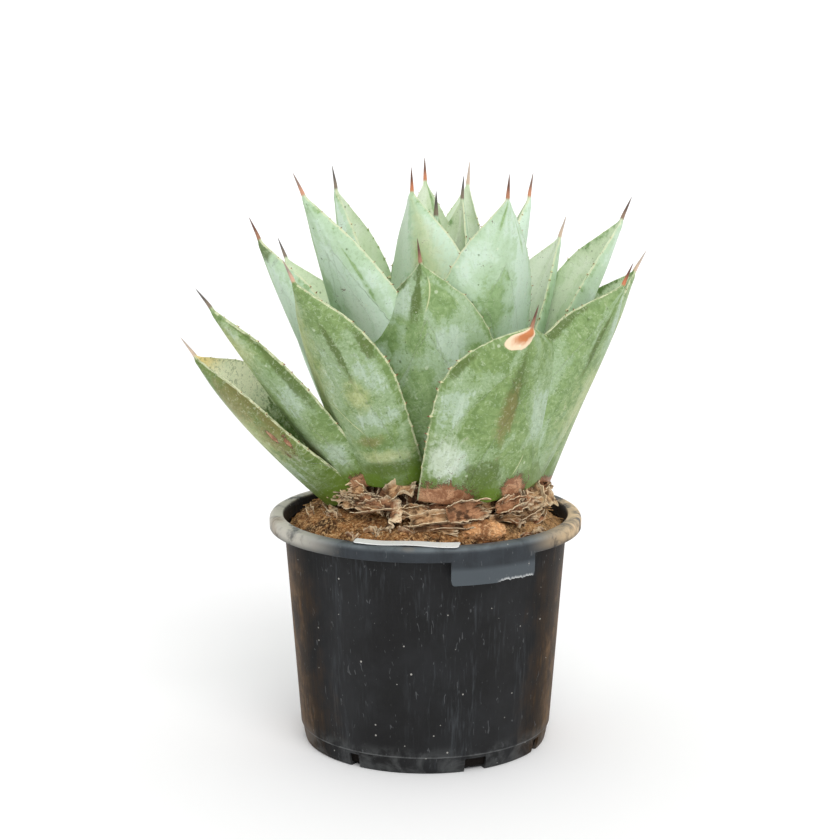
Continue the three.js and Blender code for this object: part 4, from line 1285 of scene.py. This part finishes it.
for field, values in {
    "bloom": np.full(len(s), 0.9), "age": np.full(len(s), 0.1), "face": np.zeros(len(s)),
    "horn": np.clip((s - spine + 0.01) / (1 - spine), 0, 1), "along": s * length / MM, "across": turn * 14,
    **{field: np.full(len(s), 9.0) for field in ("print", "print_too", "scratch", "margin")},
}.items():
    set_field(heart, field, values)
weld(0.02)
close_ends(heart)
settle(heart, 60)
finish_with(heart, LEAF_SKIN)
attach(heart, "root")
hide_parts("heart_leaf")


# ---------------------------------------------------------------- dry leaves
# The papery feet of fallen leaves lie and curl on the soil round the stem, tan and brown, with
# cream torn edges and dark stains.  Each is one thin sheet, resting on the soil and on its neighbours.

# Each row: turn, radius and height of its start and of its end, its width, then its bow, cup and roll.
DRY_LEAVES = [
    ((-38, 83, 250), (-22, 114, 230), 38, 5, 0.25, 10), ((-32, 83, 258), (-4, 90, 256), 18, 6, 0.3, 0),
    ((-6, 81, 250), (26, 101, 239), 24, 4, 0.3, 15), ((-12, 112, 228), (11, 113, 228), 14, 4, 0.2, 0),
    ((-14, 81, 263), (26, 88, 260), 16, 8, 0.2, 0), ((64, 80, 262), (58, 108, 237), 42, 5, 0.35, 16),
    ((30, 81, 248), (54, 102, 239), 22, 4, 0.4, 0), ((88, 80, 262), (78, 110, 232), 34, 5, 0.3, 8),
    ((44, 94, 229), (44, 116, 228), 14, 2, 0.2, 0), ((112, 80, 252), (106, 112, 230), 44, 5, 0.35, -12),
    ((142, 80, 252), (148, 113, 230), 42, 5, 0.3, 8), ((176, 80, 252), (170, 114, 230), 42, 5, 0.35, -8),
    ((-154, 80, 252), (-150, 113, 230), 44, 5, 0.3, 10), ((-122, 80, 252), (-116, 112, 230), 38, 5, 0.35, 10),
]

DRY_SKINS = [
    dry_material("dry_tan", srgb(216, 182, 140), srgb(174, 130, 90), srgb(84, 58, 38)),
    dry_material("dry_brown", srgb(186, 140, 104), srgb(136, 94, 66), srgb(60, 41, 28)),
]
for number, (start, end, width, bow, cup, roll) in enumerate(DRY_LEAVES, 1):
    first, last = Vector(stem_place(*start)), Vector(stem_place(*end))
    radial = Vector(stem_place(start[0], 1, 0)) - CROWN
    lying = abs((last - first).normalized().dot(radial)) > 0.6
    turn = math.radians(start[0])
    side = (math.cos(turn), math.sin(turn), 0) if lying else (0, 0, 1)
    strip = curled_sheet(f"papery_{number:02d}", first, last, side, width, bow, cup, roll, number)
    settle(strip, 60)
    finish_with(strip, DRY_SKINS[number % 2])
    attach(strip, "root")
    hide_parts(f"dry_leaf_{number:02d}")

# Torn scraps cling to the feet of the lowest leaves, wrap the stem below them and litter the soil.
# Each row: how many, reach from the axis, sweep round it in degrees, height over the soil and how much
# more for each step inwards, how far the strip leans back, and its width.
SCRAPS = [
    (30, (91, 97), (9, 22), (12, 21), 0.0, (2.0, 5.0), (9, 18)),
    (38, (88, 106), (12, 30), (3, 7), 0.8, (0.5, 1.6), (9, 21)),
    (28, (100, 122), (3, 9), (1, 3), 0.0, (-0.3, 0.3), (5, 11)),
]
# The scraps keep clear of the clod: its turn, the arc to each side of it and its nearest reach.
CLOD_TURN = 22
CLOD_ARC = 14
CLOD_REACH = 98

rng = random.Random(77)
scraps = ([], [])
for count, reaches, sweeps, rises, slope, leans, widths in SCRAPS:
    for number in range(count):
        turn, reach = rng.uniform(0, 360), rng.uniform(*reaches)
        sweep = rng.choice((-1, 1)) * rng.uniform(*sweeps)
        middle = math.radians(turn + sweep / 2)
        ground = soil_level(CROWN.x + reach * math.sin(middle), -reach * math.cos(middle))
        height = ground + rng.uniform(*rises) + (106 - reach) * slope
        start = (turn, reach, height)
        end = (turn + sweep, reach + rng.uniform(-3, 7), height + rng.uniform(-5, 4))
        side = (math.sin(middle), -math.cos(middle), -rng.uniform(*leans))
        bow, cup, roll = rng.uniform(1, 6), rng.uniform(0.2, 0.9), rng.uniform(-45, 45)
        clear_of_clod = reach < CLOD_REACH or abs((turn + sweep / 2) % 360 - CLOD_TURN) > CLOD_ARC
        if clear_of_clod:
            scraps[number % 2].append(curled_sheet(
                "scrap", stem_place(*start), stem_place(*end), side, rng.uniform(*widths), bow, cup, roll,
                200 + number + 7 * count, 1.8, 0.6, (14, 22)))
lowest = list(LEAVES.items())[:12]
for number, (node, shape) in enumerate(lowest * 4):
    point, across, inner = (rows[0] for rows in leaf_frame(node, shape, np.array([0.02]))[:3])
    half, clasp = shape["width"] / 2 * shape["foot"], []
    begin = rng.uniform(-0.9, 0.45)
    for u in (begin, begin + rng.uniform(0.28, 0.5)):
        depth = shape["cup"] * CUP_AT_FOOT * u * u * half - THICKNESS * max(1 - u * u, 0) ** 0.58
        depth -= rng.uniform(1, 4)
        clasp.append(point + across * half * u + inner * depth - np.array((0, 0, rng.uniform(0, 14))))
    side = (inner[0] * 0.5, inner[1] * 0.5, 1)
    scraps[number % 2].append(curled_sheet(
        "scrap", *clasp, side, rng.uniform(14, 27), rng.uniform(2, 6), rng.uniform(0.2, 0.7),
        rng.uniform(-60, 60), 500 + number, 2.2, 0.7, (18, 24)))
for number, (own, skin) in enumerate(zip(scraps, DRY_SKINS), 1):
    torn = settle(join(own, f"papery_scraps_{number}"), 60)
    finish_with(torn, skin)
    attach(torn, "root")


# ---------------------------------------------------------------- label
# A bare white plastic plant label, fallen across the front of the rim: thin, slightly warped and dusty.

LABEL_HALF = (47.8, 7.4)
LABEL_TURN = math.radians(-9)

low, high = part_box("plant_label")
label, x, y = new_grid("blank_label", 64, 10)
corner = np.clip((np.abs(x) - 0.955) / 0.045, 0, 1)
y = y * (1 - 0.3 * (1 - np.sqrt(1 - corner ** 2)))
height = 0.3 + 0.9 * x ** 2 + 0.5 * np.clip(x, 0, 1) * y + 0.5 * np.sin(5 * x + 1)
across, along = LABEL_HALF[0] * x, LABEL_HALF[1] * y
cosine, sine = math.cos(LABEL_TURN), math.sin(LABEL_TURN)
place = np.stack([across * cosine - along * sine, across * sine + along * cosine, height], axis=1) * MM
middle = (low + high) / 2
place_points(label, place + np.array((middle.x, middle.y, high.z - 0.4 * MM)))
thicken(label, 0.7, 0.15)
settle(label, 40)
material, sheet, shader = new_material("label_plastic", specular_ior_level=0.4)
place = sheet.object_place()
dust = sheet.step(sheet.noise(place, 130.0, 5.0, 0.65), 0.5, 0.72)
colour = sheet.mix(sheet.times(dust, 0.35), srgb(236, 238, 238), srgb(196, 182, 160))
marks = sheet.group(SPECKS, {"Place": place, "Scale": 330.0, "Size": 0.2, "Share": 0.12})["Mask"]
colour = sheet.coat(colour, srgb(120, 92, 66), marks, 0.6)
sheet.feed(shader["Base Color"], colour)
sheet.feed(shader["Roughness"], sheet.blend(dust, 0.34, 0.7))
sheet.feed(shader["Normal"], sheet.bump(sheet.noise(place, 900.0, 2.0), 0.0002, 0.3))
finish_with(label, material)
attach(label, "root")
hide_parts("plant_label")


# ---------------------------------------------------------------- studio
# A pale seamless paper sweep, one broad soft light from the front right, and a white room.

SWEEP_RUN = 8
SWEEP_BEND = 2
SWEEP_SIDE = 9
SWEEP_FRONT = -4.5
CAMERA_PLACE = (-0.0052, -1.855, 0.658)
CAMERA_TILT = 10.57

floor, x, y = new_grid("studio_sweep", 2, 60)
run = (y + 1) * 8
turn = np.clip((run - SWEEP_RUN) / SWEEP_BEND, 0, math.pi / 2)
back = np.minimum(run, SWEEP_RUN) + SWEEP_FRONT + SWEEP_BEND * np.sin(turn)
rise = SWEEP_BEND * (1 - np.cos(turn)) + np.clip(run - SWEEP_RUN - math.pi, 0, 8)
place_points(floor, np.stack([x * SWEEP_SIDE, back, rise], axis=1))
settle(floor, 60)
material, sheet, shader = new_material("sweep_paper", roughness=0.9, specular_ior_level=0.0)
pale = sheet.noise(sheet.object_place(), 3.0)
sheet.feed(shader["Base Color"], sheet.mix(pale, srgb(250, 250, 250), srgb(253, 253, 253)))
finish_with(floor, material)

clear_selection()
bpy.ops.object.light_add(type="SUN", location=(2, -2, 3))
lamp = named("key_light")
lamp.rotation_euler = Vector((-0.22, 0.72, -0.66)).to_track_quat("-Z", "Y").to_euler()
lamp.data.energy = 1.3
lamp.data.angle = math.radians(42)

scene = bpy.context.scene
scene.world = scene.world or bpy.data.worlds.new("white_room")
scene.world.use_nodes = True
background = next(n for n in scene.world.node_tree.nodes if n.type == "BACKGROUND")
background.inputs["Color"].default_value = (1, 1, 1, 1)
room = Sheet(scene.world.node_tree)
seen = room.add("LightPath").outputs["Is Camera Ray"]
room.feed(background.inputs["Strength"], room.blend(seen, 0.82, 1.0))
scene.view_settings.view_transform = "Standard"

clear_selection()
bpy.ops.object.camera_add(location=CAMERA_PLACE, rotation=(math.radians(90 - CAMERA_TILT), 0, 0))
camera = named("camera")
camera.data.sensor_width = 36
camera.data.lens = 84.6
camera.data.clip_end = 50
scene.camera = camera
